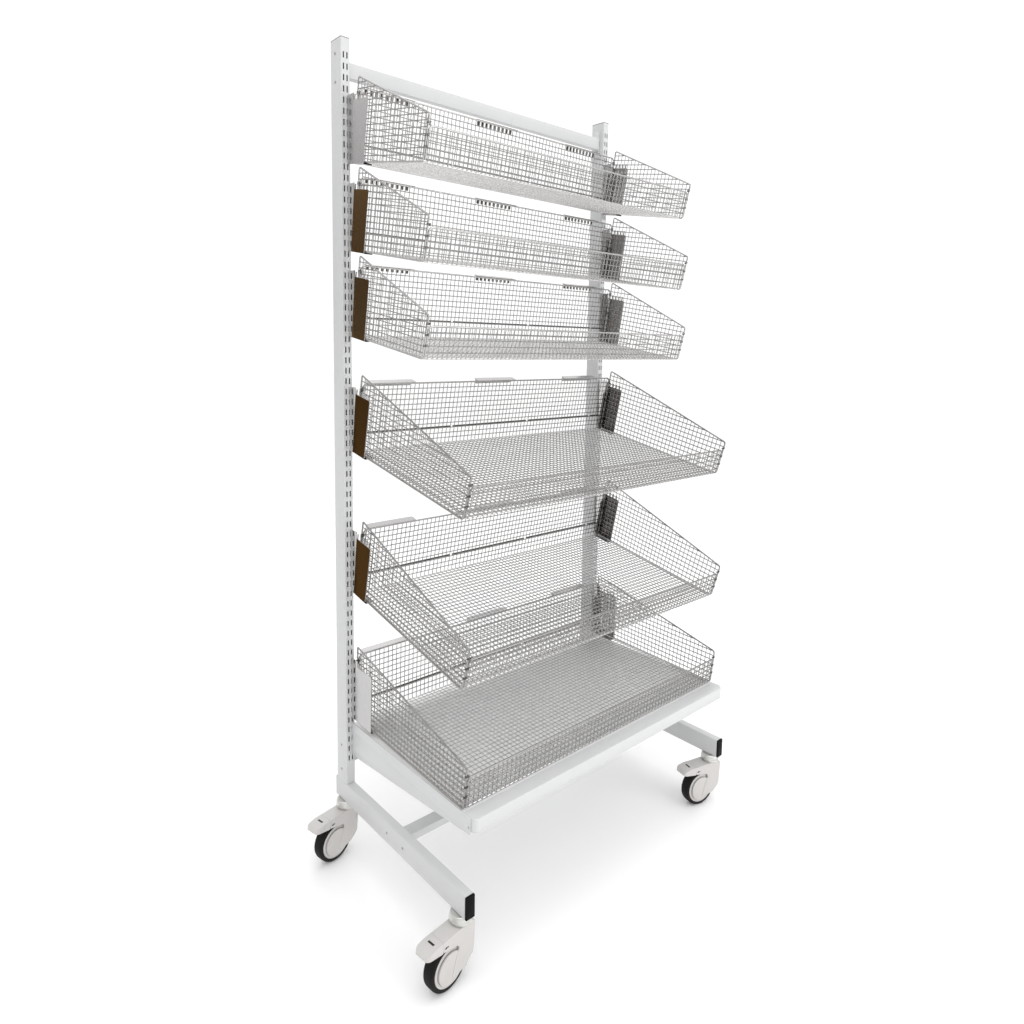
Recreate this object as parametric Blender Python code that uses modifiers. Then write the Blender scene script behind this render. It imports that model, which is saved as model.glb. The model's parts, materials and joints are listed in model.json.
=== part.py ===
"""Mobile display rack: two slotted uprights on castored feet, a base shelf and six tilted wire baskets."""

import math

import bmesh
import bpy
from mathutils import Matrix

for old in list(bpy.data.objects):
    bpy.data.objects.remove(old, do_unlink=True)

# Fits
GAP = 0.0003              # between faces that meet
SIDE_PLAY = 0.0005        # basket or shelf side to its bracket
OVERCUT = 0.0015          # how far a cutter runs past the face it opens

# Frame tubes
RACK_WIDTH = 0.920        # over the outer faces of the uprights
RACK_HEIGHT = 2.000       # floor to the top of the caps, taken to the nearest slot
TUBE_WIDTH = 0.023
TUBE_WALL = 0.002
UPRIGHT_DEPTH = 0.050
FOOT_HEIGHT = 0.050
FOOT_AHEAD = 0.491        # foot in front of the upright's front face
FOOT_BEHIND = 0.004       # foot behind the upright's back face
CAP_FRONT = 0.004
CAP_REAR = 0.0022
CAP_TOP = 0.0025
CAP_PLUG = 0.012
PLUG_PLAY = 0.0004

# Slots in the front face of each upright
SLOT_PITCH = 0.025
SLOT_HEIGHT = 0.014
SLOT_WIDTH = 0.0035
SLOT_SPACING = 0.009      # between the two columns
SLOT_ABOVE_FOOT = 0.069   # foot top to the lowest slot's centre
SLOT_BELOW_TOP = 0.038    # highest slot's centre to the tube's end
SPARE_SLOTS = 5           # free slots over the top basket's hooks

# Crossbars
BAR_HEIGHT = 0.036
BAR_DEPTH = 0.018
BAR_WALL = 0.0015
BAR_FLANGE_LENGTH = 0.084
BAR_FLANGE = 0.003
TOP_BAR_DROP = 0.063      # upright's end to the bar's centre
REAR_BAR_RISE = 0.064     # foot top to the bar's centre
FOOT_BAR_AHEAD = 0.225    # upright's front face to the bar's centre

# Brackets and hooks
PLATE = 0.002
HOOK_NECK = 0.007
HOOK_DROP = 0.005
HOOK_LIP = 0.003
HOOK_SPACING = 0.100
HOOK_RISE = 0.0162        # basket floor to the lower hook's slot centre
PLATE_WIDTH = 0.068       # ahead of the hook strip
PLATE_HEIGHT = 0.137
PLATE_TAB = 0.015         # hook strip above the plate
STRIP_DEPTH = 0.030
FLANGE = 0.0015
FLANGE_WIDTH = 0.020
BACK_FLANGE_HEIGHT = 0.120
TOOTH_COUNT = 5
TOOTH_WIDTH = 0.003
TOOTH_HEIGHT = 0.012
TOOTH_PITCH = 0.0132
TOOTH_INSET = 0.009       # first tooth behind the plate's front edge

# Baskets
WIRE = 0.004
SETBACK = 0.018           # upright's face to the basket's back wires, at the floor
SHALLOW_DEPTH = 0.293
DEEP_DEPTH = 0.441
SIDE_BACK = 0.186
SIDE_FRONT = 0.093
BACK_HEIGHT = 0.164
FRONT_HEIGHT = 0.070
FRONT_LEAN = math.radians(4.5)
SHALLOW_TILT = math.radians(9.7)
DEEP_TILT = math.radians(11.5)
CELL = 0.165              # gaps of the simplified wire mesh
CLIP_LENGTH = 0.136
CLIP_DEPTH = 0.018        # behind the rim
CLIP_HEIGHT = 0.016       # of the clip's rear leg
CLIP_SHEET = 0.0015
CLIP_OVER = 0.003         # clip above the rim wire's centre
CLIP_PITCH = 0.330
CLIP_SHIFT = 0.026        # middle clip left of the basket's middle
LOWEST_SLOT = 5           # slot of the lowest basket's lower hooks, counted from the bottom
HEADROOM = 0.012          # least free height over each basket
BASKET_SHARES = (0, 0.24, 0.50, 0.70, 0.85, 1)   # of the way up to the top basket, lowest first
DEEP_COUNT = 3            # deep baskets, from the bottom

# Base shelf
SHELF_SLOTS = (1, 3)      # slots of the shelf brackets' hooks, counted from the bottom
SHELF_RISE = 0.0161       # upper hook's slot centre to the shelf's top
SHELF_FRONT = 0.499
SHELF_BACK = 0.004
SHEET = 0.002
SHELF_LIP = 0.030
SHELF_CORNER = 0.012
SHELF_ARM_BACK = 0.086
SHELF_ARM_FRONT = 0.037
SHELF_ARM_END = 0.012     # arm's end behind the shelf's front
LEDGE_WIDTH = 0.014
ARM_HOLE = 0.005
ARM_HOLE_DROP = 0.022     # under the shelf's top

# Casters
CASTER_HEIGHT = 0.140     # floor to the foot's underside
CASTER_INSET = 0.028      # from each end of the foot
CASTER_TURN = {           # degrees that each caster has swivelled from trailing straight to the left
    "front_left": 7.0,
    "front_right": -14.0,
    "rear_left": 11.5,
    "rear_right": -3.0,
}
WHEEL_RADIUS = 0.050
WHEEL_SIDES = 24
TYRE_WIDTH = 0.028
TYRE_DEPTH = 0.007
TYRE_ROUND = 0.004
TRAIL = 0.043
AXLE_RADIUS = 0.005
AXLE_SEAT = 0.0022        # how far the axle enters each cheek
RUN_PLAY = 0.0012         # wheel to housing
BORE_PLAY = 0.0003
BOSS_RADIUS = 0.033       # round end of each leg, over the hub
BOSS_CHEEK = 0.0038
HOOD_CHEEK = 0.0048
HOOD_TOP = 0.1190
HOOD_SKIRT = 0.0900       # lower edge of the hood at the leg
SKIRT_RISE = 0.0080       # that edge is higher at the pedal
HOOD_NOSE = 0.0235        # hood ahead of the swivel axis
HOOD_ROUND = 0.003
LEG_REAR = 0.0215         # leg's rear edge behind the swivel axis
LEG_FRONT = 0.0185        # leg's front edge ahead of the swivel axis, at the axle's height
LEG_FOOT = 0.031          # height of the leg's lowest front corner
COLLAR_RADIUS = 0.025
COLLAR_NECK = 0.0215
COLLAR_FOOT = 0.023
STEM_RADIUS = 0.006
STEM_UP = 0.014           # stem above the foot's underside
SPIGOT_RADIUS = 0.008
SPIGOT_DEPTH = 0.022
PEDAL_HINGE = 0.062       # behind the swivel axis
PEDAL_HINGE_DROP = 0.013  # under the hood's top
PEDAL_TIP = 0.111
PEDAL_TIP_DROP = 0.011    # tip's edge under the hood's top
PEDAL_TIP_EDGE = 0.004    # height of the tip's face
PEDAL_FLAT = 0.020        # level part of the pedal's top, behind its hinge
PEDAL_CORNER = 0.013      # rounding of the tip, seen from above
KNUCKLE_RADIUS = 0.0055
KNUCKLE_WIDTH = 0.022
PEDAL_SWING = math.radians(12)

# Derived places; rack coordinates have x = 0 midway between the uprights,
# y = 0 on their front faces and z = 0 on the floor.
upright_x = (RACK_WIDTH - TUBE_WIDTH) / 2
inner_x = RACK_WIDTH / 2 - TUBE_WIDTH
foot_top = CASTER_HEIGHT + FOOT_HEIGHT
foot_front = -FOOT_AHEAD
foot_rear = UPRIGHT_DEPTH + FOOT_BEHIND
column_x = upright_x - SLOT_SPACING / 2
slot_zero = foot_top + GAP + SLOT_ABOVE_FOOT
basket_half = column_x - PLATE / 2 - SIDE_PLAY - WIRE / 2
shelf_half = column_x - PLATE / 2 - SIDE_PLAY
wheel_gap = TYRE_WIDTH / 2 + RUN_PLAY
hood_half = wheel_gap + HOOD_CHEEK
boss_half = wheel_gap + BOSS_CHEEK
hinge_z = HOOD_TOP - PEDAL_HINGE_DROP
axle_z = WHEEL_RADIUS * math.cos(math.pi / WHEEL_SIDES)   # the tyre stands on one of its flats


def slot_z(index):
    return slot_zero + index * SLOT_PITCH


def slots_over(length):
    return math.ceil(length / SLOT_PITCH - 1e-6)


shelf_top = slot_z(SHELF_SLOTS[1]) + SHELF_RISE
lowest_floor = slot_z(LOWEST_SLOT) - HOOK_RISE
lowest_tilt = math.asin((lowest_floor - shelf_top - WIRE / 2 - 2 * GAP) / DEEP_DEPTH)

# Lowest basket first: (number from the top, depth, tilt, slot of its lower hooks). The baskets are
# spread over the slots that fit in RACK_HEIGHT, and keep HEADROOM over the one below.
hook_slots = slots_over(HOOK_SPACING)
slots_fit = round((RACK_HEIGHT - CAP_TOP - GAP - SLOT_BELOW_TOP - slot_zero) / SLOT_PITCH) + 1
top_slot = slots_fit - 1 - hook_slots - SPARE_SLOTS
baskets = []
slot = LOWEST_SLOT
for level, share in enumerate(BASKET_SHARES):
    deep = level < DEEP_COUNT
    tilt = lowest_tilt if level == 0 else DEEP_TILT if deep else SHALLOW_TILT
    slot = max(slot, LOWEST_SLOT + round(share * (top_slot - LOWEST_SLOT)))
    baskets.append((len(BASKET_SHARES) - level, DEEP_DEPTH if deep else SHALLOW_DEPTH, tilt, slot))
    slot += slots_over(SIDE_BACK * math.cos(tilt) + HEADROOM)
slot_count = max(slots_fit, baskets[-1][3] + hook_slots + SPARE_SLOTS + 1)
upright_height = SLOT_ABOVE_FOOT + (slot_count - 1) * SLOT_PITCH + SLOT_BELOW_TOP
upright_base = foot_top + GAP
upright_end = upright_base + upright_height

parts = bpy.data.collections.new("wire_basket_display_rack")
cutters = bpy.data.collections.new("cutters")
bpy.context.scene.collection.children.link(parts)
bpy.context.scene.collection.children.link(cutters)


def material(name, colour, roughness, metallic):
    made = bpy.data.materials.get(name)
    if made is None:
        made = bpy.data.materials.new(name)
        made.use_nodes = True
        shader = made.node_tree.nodes["Principled BSDF"]
        shader.inputs["Base Color"].default_value = (*colour, 1.0)
        shader.inputs["Roughness"].default_value = roughness
        shader.inputs["Metallic"].default_value = metallic
    return made


def painted(name):
    return material(name + "_paint", (0.78, 0.78, 0.77), 0.42, 0.0)


def stainless(name):
    return material(name + "_steel", (0.60, 0.60, 0.59), 0.30, 1.0)


def black(name):
    return material(name + "_black", (0.018, 0.017, 0.017), 0.55, 0.0)


def pale(name):
    return material(name + "_plastic", (0.74, 0.72, 0.70), 0.45, 0.0)


def empty(name, place, parent=None):
    made = bpy.data.objects.new(name, None)
    made.location = place
    made.parent = parent
    parts.objects.link(made)
    return made


def add(name, mesh, place, look=None, parent=None):
    """A part, or a cutter where it has no material."""
    made = bpy.data.objects.new(name, mesh)
    made.location = place
    made.parent = parent
    if look is None:
        made.hide_render = True
        made.display_type = "WIRE"
        cutters.objects.link(made)
    else:
        mesh.materials.append(look)
        parts.objects.link(made)
    return made


def box_mesh(name, size):
    bm = bmesh.new()
    bmesh.ops.create_cube(bm, size=1.0)
    bmesh.ops.scale(bm, vec=size, verts=bm.verts)
    mesh = bpy.data.meshes.new(name)
    bm.to_mesh(mesh)
    bm.free()
    return mesh


def rod_mesh(name, radius, length, axis, sides):
    bm = bmesh.new()
    bmesh.ops.create_cone(bm, cap_ends=True, segments=sides, radius1=radius, radius2=radius, depth=length)
    if axis == "Y":
        bmesh.ops.rotate(bm, cent=(0, 0, 0), matrix=Matrix.Rotation(math.pi / 2, 3, "X"), verts=bm.verts)
    if axis == "X":
        bmesh.ops.rotate(bm, cent=(0, 0, 0), matrix=Matrix.Rotation(math.pi / 2, 3, "Y"), verts=bm.verts)
    mesh = bpy.data.meshes.new(name)
    bm.to_mesh(mesh)
    bm.free()
    return mesh


def outline_mesh(name, points, thickness, plane):
    """A flat outline given its thickness. Plane YZ: (y, z) points; XZ: (x, z); XY: (x, y)."""
    curve = bpy.data.curves.new(name, "CURVE")
    curve.dimensions = "2D"
    curve.fill_mode = "BOTH"
    curve.extrude = thickness / 2
    spline = curve.splines.new("POLY")
    spline.points.add(len(points) - 1)
    for point, (a, b) in zip(spline.points, points):
        point.co = (a, b, 0, 1)
    spline.use_cyclic_u = True
    drawn = bpy.data.objects.new(name + "_outline", curve)
    cutters.objects.link(drawn)
    bpy.context.view_layer.update()
    seen = drawn.evaluated_get(bpy.context.evaluated_depsgraph_get())
    mesh = bpy.data.meshes.new_from_object(seen)
    bm = bmesh.new()
    bm.from_mesh(mesh)
    bmesh.ops.remove_doubles(bm, verts=bm.verts, dist=1e-6)
    if plane == "YZ":
        turn = Matrix(((0, 0, 1), (1, 0, 0), (0, 1, 0)))
    elif plane == "XZ":
        turn = Matrix(((1, 0, 0), (0, 0, -1), (0, 1, 0)))
    else:
        turn = Matrix.Identity(3)
    bmesh.ops.transform(bm, matrix=turn.to_4x4(), verts=bm.verts)
    bmesh.ops.dissolve_limit(bm, angle_limit=math.radians(1), verts=bm.verts, edges=bm.edges)
    bmesh.ops.recalc_face_normals(bm, faces=bm.faces)
    bm.to_mesh(mesh)
    bm.free()
    bpy.data.objects.remove(drawn, do_unlink=True)
    bpy.data.curves.remove(curve)
    return mesh


def profile_mesh(name, points, closed, start=0.0):
    """A profile of (radius, z) points for a Screw modifier about Z, in the plane at the angle start."""
    bm = bmesh.new()
    row = [bm.verts.new((r * math.cos(start), r * math.sin(start), z)) for r, z in points]
    pairs = list(zip(row, row[1:]))
    if closed:
        pairs.append((row[-1], row[0]))
    for pair in pairs:
        bm.edges.new(pair)
    mesh = bpy.data.meshes.new(name)
    bm.to_mesh(mesh)
    bm.free()
    return mesh


def turned(part, sides):
    screw = part.modifiers.new("turn", "SCREW")
    screw.axis = "Z"
    screw.steps = sides
    screw.render_steps = sides
    screw.use_merge_vertices = True
    screw.merge_threshold = 1e-5
    return part


def boolean(part, other, kind):
    cut = part.modifiers.new(kind.lower(), "BOOLEAN")
    cut.operation = kind
    cut.solver = "EXACT"
    cut.object = other
    return part


def rounded(part, width, segments):
    bevel = part.modifiers.new("rounding", "BEVEL")
    bevel.width = width
    bevel.segments = segments
    bevel.limit_method = "ANGLE"
    bevel.angle_limit = math.radians(50)
    return part


rack = empty("rack", (0, 0, 0))


def block(name, size, centre, look=None):
    return add(name, box_mesh(name, size), centre, look, rack)


def hollow(part, size, centre):
    return boolean(part, block(part.name + "_bore", size, centre), "DIFFERENCE")


def plug(cap, size, centre):
    return boolean(cap, block(cap.name + "_plug", size, centre), "UNION")


# Uprights, feet and their caps
bore_x = TUBE_WIDTH - 2 * TUBE_WALL
upright_bore = (bore_x, UPRIGHT_DEPTH - 2 * TUBE_WALL)
foot_length = foot_rear - foot_front
foot_mid = (foot_rear + foot_front) / 2
foot_mid_z = CASTER_HEIGHT + FOOT_HEIGHT / 2
foot_bore = (bore_x, FOOT_HEIGHT - 2 * TUBE_WALL)
caster_y = {"front": foot_front + CASTER_INSET, "rear": foot_rear - CASTER_INSET}

for side, sign in (("left", -1), ("right", 1)):
    x = sign * upright_x
    size = (TUBE_WIDTH, UPRIGHT_DEPTH, upright_height)
    centre = (x, UPRIGHT_DEPTH / 2, upright_base + upright_height / 2)
    post = block(side + "_upright", size, centre, painted(side + "_upright"))
    hollow(post, (*upright_bore, upright_height + 2 * OVERCUT), centre)
    slot_size = (SLOT_WIDTH, TUBE_WALL + 2 * OVERCUT, SLOT_HEIGHT)
    slots = block(side + "_slots", slot_size, (x - SLOT_SPACING / 2, TUBE_WALL / 2, slot_zero))
    for step, count in (((SLOT_SPACING, 0, 0), 2), ((0, 0, SLOT_PITCH), slot_count)):
        row = slots.modifiers.new("row", "ARRAY")
        row.use_relative_offset = False
        row.use_constant_offset = True
        row.constant_offset_displace = step
        row.count = count
    boolean(post, slots, "DIFFERENCE")

    cap_z = upright_end + GAP + CAP_TOP / 2
    cap = block(side + "_upright_cap", (TUBE_WIDTH, UPRIGHT_DEPTH, CAP_TOP), (x, UPRIGHT_DEPTH / 2, cap_z),
                pale(side + "_upright_cap"))
    drop = CAP_PLUG + CAP_TOP / 2
    plug(cap, (upright_bore[0] - 2 * PLUG_PLAY, upright_bore[1] - 2 * PLUG_PLAY, drop),
         (x, UPRIGHT_DEPTH / 2, cap_z - drop / 2))

    foot = block(side + "_foot", (TUBE_WIDTH, foot_length, FOOT_HEIGHT), (x, foot_mid, foot_mid_z),
                 painted(side + "_foot"))
    hollow(foot, (foot_bore[0], foot_length + 2 * OVERCUT, foot_bore[1]), (x, foot_mid, foot_mid_z))
    for end, y in caster_y.items():
        hole = add(f"{side}_{end}_stem_hole",
                   rod_mesh("stem_hole", STEM_RADIUS + BORE_PLAY, TUBE_WALL + 2 * OVERCUT, "Z", 16),
                   (x, y, CASTER_HEIGHT + TUBE_WALL / 2), None, rack)
        boolean(foot, hole, "DIFFERENCE")

    for end, way, thick, look in (("front", -1, CAP_FRONT, black), ("rear", 1, CAP_REAR, pale)):
        face = foot_front if end == "front" else foot_rear
        cap_y = face + way * (GAP + thick / 2)
        cap = block(f"{side}_foot_{end}_cap", (TUBE_WIDTH, thick, FOOT_HEIGHT), (x, cap_y, foot_mid_z),
                    look(f"{side}_foot_{end}_cap"))
        length = CAP_PLUG + thick / 2
        plug(cap, (foot_bore[0] - 2 * PLUG_PLAY, length, foot_bore[1] - 2 * PLUG_PLAY),
             (x, cap_y - way * length / 2, foot_mid_z))


# Crossbars: a box tube with a flange at each end, screwed to the inner faces of the tubes
def crossbar(name, y, z, flat):
    length = 2 * (inner_x - GAP)
    bar_size = (BAR_HEIGHT, BAR_DEPTH) if flat else (BAR_DEPTH, BAR_HEIGHT)
    flange = (BAR_FLANGE_LENGTH, BAR_DEPTH) if flat else (BAR_DEPTH, BAR_FLANGE_LENGTH)
    bar = block(name, (length - BAR_FLANGE, *bar_size), (0, y, z), painted(name))
    for sign in (-1, 1):
        end = block(f"{name}_flange_{sign}", (BAR_FLANGE, *flange), (sign * (length - BAR_FLANGE) / 2, y, z))
        boolean(bar, end, "UNION")
    hollow(bar, (length + 2 * OVERCUT, bar_size[0] - 2 * BAR_WALL, bar_size[1] - 2 * BAR_WALL), (0, y, z))


crossbar("top_crossbar", UPRIGHT_DEPTH / 2, upright_end - TOP_BAR_DROP, False)
crossbar("rear_crossbar", UPRIGHT_DEPTH / 2, foot_top + REAR_BAR_RISE, False)
crossbar("foot_crossbar", -FOOT_BAR_AHEAD, foot_mid_z, True)


def hook_outline(index):
    """One hook, down the bracket's rear edge: through the slot and down behind the wall."""
    sill = slot_z(index) - SLOT_HEIGHT / 2
    inside = TUBE_WALL + GAP
    return [(-GAP, sill + GAP + HOOK_NECK), (inside + HOOK_LIP, sill + GAP + HOOK_NECK),
            (inside + HOOK_LIP, sill - HOOK_DROP), (inside, sill - HOOK_DROP),
            (inside, sill + GAP), (-GAP, sill + GAP)]


# Base shelf and its two arms
def rounded_front(half, front, back, radius, steps):
    points = [(-half, back)]
    for sign in (-1, 1):
        for step in range(steps + 1):
            turn = step / steps * math.pi / 2
            turn = turn if sign < 0 else math.pi / 2 - turn
            points.append((sign * (half - radius + radius * math.cos(turn)),
                           front + radius - radius * math.sin(turn)))
    return points + [(half, back)]


pan_mid = shelf_top - SHELF_LIP / 2
outer = rounded_front(shelf_half, -SHELF_FRONT, -SHELF_BACK, SHELF_CORNER, 4)
inner = rounded_front(shelf_half - SHEET, SHEET - SHELF_FRONT, OVERCUT - SHELF_BACK, SHELF_CORNER - SHEET, 4)
shelf = add("base_shelf", outline_mesh("base_shelf", outer, SHELF_LIP, "XY"), (0, 0, pan_mid),
            painted("base_shelf"), rack)
under = add("base_shelf_under", outline_mesh("base_shelf_under", inner, SHELF_LIP, "XY"),
            (0, 0, pan_mid - SHEET), None, rack)
boolean(shelf, under, "DIFFERENCE")

arm_end = SHELF_ARM_END - SHELF_FRONT
ledge_top = shelf_top - SHELF_LIP - GAP
for side, sign in (("left", -1), ("right", 1)):
    rim = [(-GAP, shelf_top - SHELF_ARM_BACK), (arm_end, shelf_top - SHELF_ARM_FRONT),
           (arm_end, shelf_top), (-GAP, shelf_top)]
    for index in reversed(SHELF_SLOTS):
        rim += hook_outline(index)
    arm = add(side + "_shelf_arm", outline_mesh(side + "_shelf_arm", rim, PLATE, "YZ"),
              (sign * column_x, 0, 0), painted(side + "_shelf_arm"), rack)
    ledge_length = -arm_end - 2 * SHELF_ARM_END
    ledge_width = LEDGE_WIDTH + PLATE / 2
    ledge_mid = arm_end + SHELF_ARM_END + ledge_length / 2
    ledge = block(side + "_shelf_ledge", (ledge_width, ledge_length, SHEET),
                  (sign * (column_x - ledge_width / 2), ledge_mid, ledge_top - SHEET / 2))
    boolean(arm, ledge, "UNION")
    hole = add(side + "_arm_hole", rod_mesh("arm_hole", ARM_HOLE / 2, PLATE + 2 * OVERCUT, "X", 8),
               (sign * column_x, arm_end + ARM_HOLE, shelf_top - ARM_HOLE_DROP), None, rack)
    boolean(arm, hole, "DIFFERENCE")


# Baskets
def cage_mesh(name, depth):
    """The wires' centre surface: floor, back, front and two sloping sides, y = 0 at the back."""
    across = max(2, round(2 * basket_half / CELL))
    along = max(2, round(depth / CELL))
    lean = math.tan(FRONT_LEAN)
    bm = bmesh.new()

    def side_top(share):
        return SIDE_BACK + (SIDE_FRONT - SIDE_BACK) * share

    def spot(x, share, z):
        return bm.verts.new((x, -share * (depth + z * lean), z))

    def panel(rows):
        for low, high in zip(rows, rows[1:]):
            for i in range(len(low) - 1):
                bm.faces.new((low[i], low[i + 1], high[i + 1], high[i]))

    xs = [basket_half * (2 * i / across - 1) for i in range(across + 1)]
    shares = [i / along for i in range(along + 1)]
    panel([[spot(x, share, 0) for x in xs] for share in shares])
    panel([[spot(x, 0, z) for x in xs] for z in (0, FRONT_HEIGHT, BACK_HEIGHT)])
    panel([[spot(x, 1, z) for x in xs] for z in (0, FRONT_HEIGHT)])
    for x in (xs[0], xs[-1]):
        panel([[spot(x, share, z) for share in shares] for z in (0, FRONT_HEIGHT)])
        low = [spot(x, share, FRONT_HEIGHT) for share in shares]
        high = [spot(x, share, side_top(share)) for share in shares]
        corner = spot(x, 0, BACK_HEIGHT)
        bm.faces.new((low[0], low[1], high[1], high[0], corner))
        panel([low[1:], high[1:]])
    bmesh.ops.remove_doubles(bm, verts=bm.verts, dist=1e-6)
    bmesh.ops.recalc_face_normals(bm, faces=bm.faces)
    mesh = bpy.data.meshes.new(name)
    bm.to_mesh(mesh)
    bm.free()
    return mesh


for number, depth, tilt, low_slot in baskets:
    name = f"basket_{number}"
    floor = slot_z(low_slot) - HOOK_RISE
    hang = empty(name + "_seat", (0, -SETBACK, floor), rack)
    hang.rotation_euler.x = tilt
    basket = add(name, cage_mesh(name, depth), (0, 0, 0), stainless(name), hang)
    wires = basket.modifiers.new("wires", "WIREFRAME")
    wires.thickness = WIRE
    wires.offset = 0
    wires.use_boundary = True
    wires.use_even_offset = True
    basket.modifiers.new("flat_faces", "TRIANGULATE")
    clip_top = BACK_HEIGHT + CLIP_OVER
    clip_rear = CLIP_DEPTH - WIRE / 4
    for i in (-1, 0, 1):
        clip_x = i * CLIP_PITCH - CLIP_SHIFT
        for part, deep, tall in (("top", CLIP_DEPTH, CLIP_SHEET), ("leg", CLIP_SHEET, CLIP_HEIGHT)):
            clip = add(f"{name}_clip_{part}_{i}", box_mesh("clip", (CLIP_LENGTH, deep, tall)),
                       (clip_x, clip_rear - deep / 2, clip_top - tall / 2), None, hang)
            boolean(basket, clip, "UNION")

    def rim_point(u, h):
        """Basket coordinates, u forward along the floor and h up from it, to (y, z)."""
        return (-SETBACK - u * math.cos(tilt) - h * math.sin(tilt),
                floor - u * math.sin(tilt) + h * math.cos(tilt))

    ledge_h = -WIRE / 2 - GAP - FLANGE / 2
    base = ledge_h - FLANGE
    rear_u = (GAP - SETBACK - base * math.sin(tilt)) / math.cos(tilt)
    strip_u = (STRIP_DEPTH - SETBACK - PLATE_HEIGHT * math.sin(tilt)) / math.cos(tilt)
    front_u = strip_u + PLATE_WIDTH
    plate_rim = [rim_point(rear_u, base), rim_point(front_u, base), rim_point(front_u, PLATE_HEIGHT)]
    tooth_top = PLATE_HEIGHT + TOOTH_HEIGHT
    for tooth in range(TOOTH_COUNT):
        u = front_u - TOOTH_INSET - tooth * TOOTH_PITCH
        plate_rim += [rim_point(u, PLATE_HEIGHT), rim_point(u, tooth_top),
                      rim_point(u - TOOTH_WIDTH, tooth_top), rim_point(u - TOOTH_WIDTH, PLATE_HEIGHT)]
    strip_foot = rim_point(strip_u, PLATE_HEIGHT)
    strip_top = strip_foot[1] + PLATE_TAB
    plate_rim += [strip_foot, (-STRIP_DEPTH, strip_top), (-GAP, strip_top)]
    for index in (low_slot + hook_slots, low_slot):
        plate_rim += hook_outline(index)
    for side, sign in (("left", -1), ("right", 1)):
        bracket = add(f"{name}_{side}_bracket", outline_mesh(name + "_plate", plate_rim, PLATE, "YZ"),
                      (sign * column_x, 0, 0), stainless(f"{name}_{side}_bracket"), rack)
        for part, size, centre in (
            ("ledge", (FLANGE_WIDTH, front_u - 2 * FLANGE, FLANGE),
             (0, -front_u / 2, ledge_h)),
            ("back", (FLANGE_WIDTH, FLANGE, BACK_FLANGE_HEIGHT),
             (0, WIRE / 2 + GAP + FLANGE / 2, ledge_h + BACK_FLANGE_HEIGHT / 2)),
        ):
            flange = add(f"{name}_{side}_{part}", box_mesh(part, size),
                         (sign * (column_x - FLANGE_WIDTH / 2), centre[1], centre[2]), None, hang)
            boolean(bracket, flange, "UNION")


# Casters, trailing to the left
hood_rear = -PEDAL_HINGE - KNUCKLE_RADIUS / 2


def hood_outline():
    """The hood and its leg from the side. The leg ends inside the round boss over the hub."""
    return [(HOOD_NOSE, HOOD_TOP), (hood_rear, HOOD_TOP), (hood_rear, HOOD_SKIRT + SKIRT_RISE),
            (-LEG_REAR - 2 * HOOD_ROUND, HOOD_SKIRT), (-LEG_REAR, HOOD_SKIRT - 2 * HOOD_ROUND),
            (-TRAIL + BOSS_RADIUS / 3, axle_z + BOSS_RADIUS / 3), (-TRAIL, axle_z - BOSS_RADIUS * 0.8),
            (LEG_FRONT - TRAIL / 2, LEG_FOOT), (LEG_FRONT, axle_z)]


def pedal_side():
    """The pedal from the side, cut back under its hinge so that it can swing down."""
    rear = hood_rear - GAP
    skirt = HOOD_SKIRT + SKIRT_RISE
    relief = 2 * (hinge_z - skirt) * math.tan(PEDAL_SWING / 2)
    tip_z = HOOD_TOP - PEDAL_TIP_DROP
    return [(rear, HOOD_TOP), (rear, hinge_z), (rear - 1.3 * relief, skirt),
            (-PEDAL_TIP + PEDAL_TIP_EDGE, tip_z - PEDAL_TIP_EDGE), (-PEDAL_TIP, tip_z),
            (-PEDAL_HINGE - 2 * PEDAL_FLAT, HOOD_TOP - PEDAL_TIP_DROP / 3),
            (-PEDAL_HINGE - PEDAL_FLAT, HOOD_TOP)]


def pedal_plan():
    """The pedal from above, with round corners at its tip."""
    points = []
    for step in range(5):
        turn = step / 4 * math.pi / 2
        points.append((-PEDAL_TIP + PEDAL_CORNER * (1 - math.sin(turn)),
                       hood_half - PEDAL_CORNER * (1 - math.cos(turn))))
    return [(0, hood_half), *points, *[(x, -y) for x, y in reversed(points)], (0, -hood_half)]


def ring_profile(inner, outer, half, bevel):
    if bevel == 0:
        return [(inner, half), (outer, half), (outer, -half), (inner, -half)]
    return [(inner, half), (outer - bevel, half), (outer, half - bevel),
            (outer, bevel - half), (outer - bevel, -half), (inner, -half)]


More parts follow.
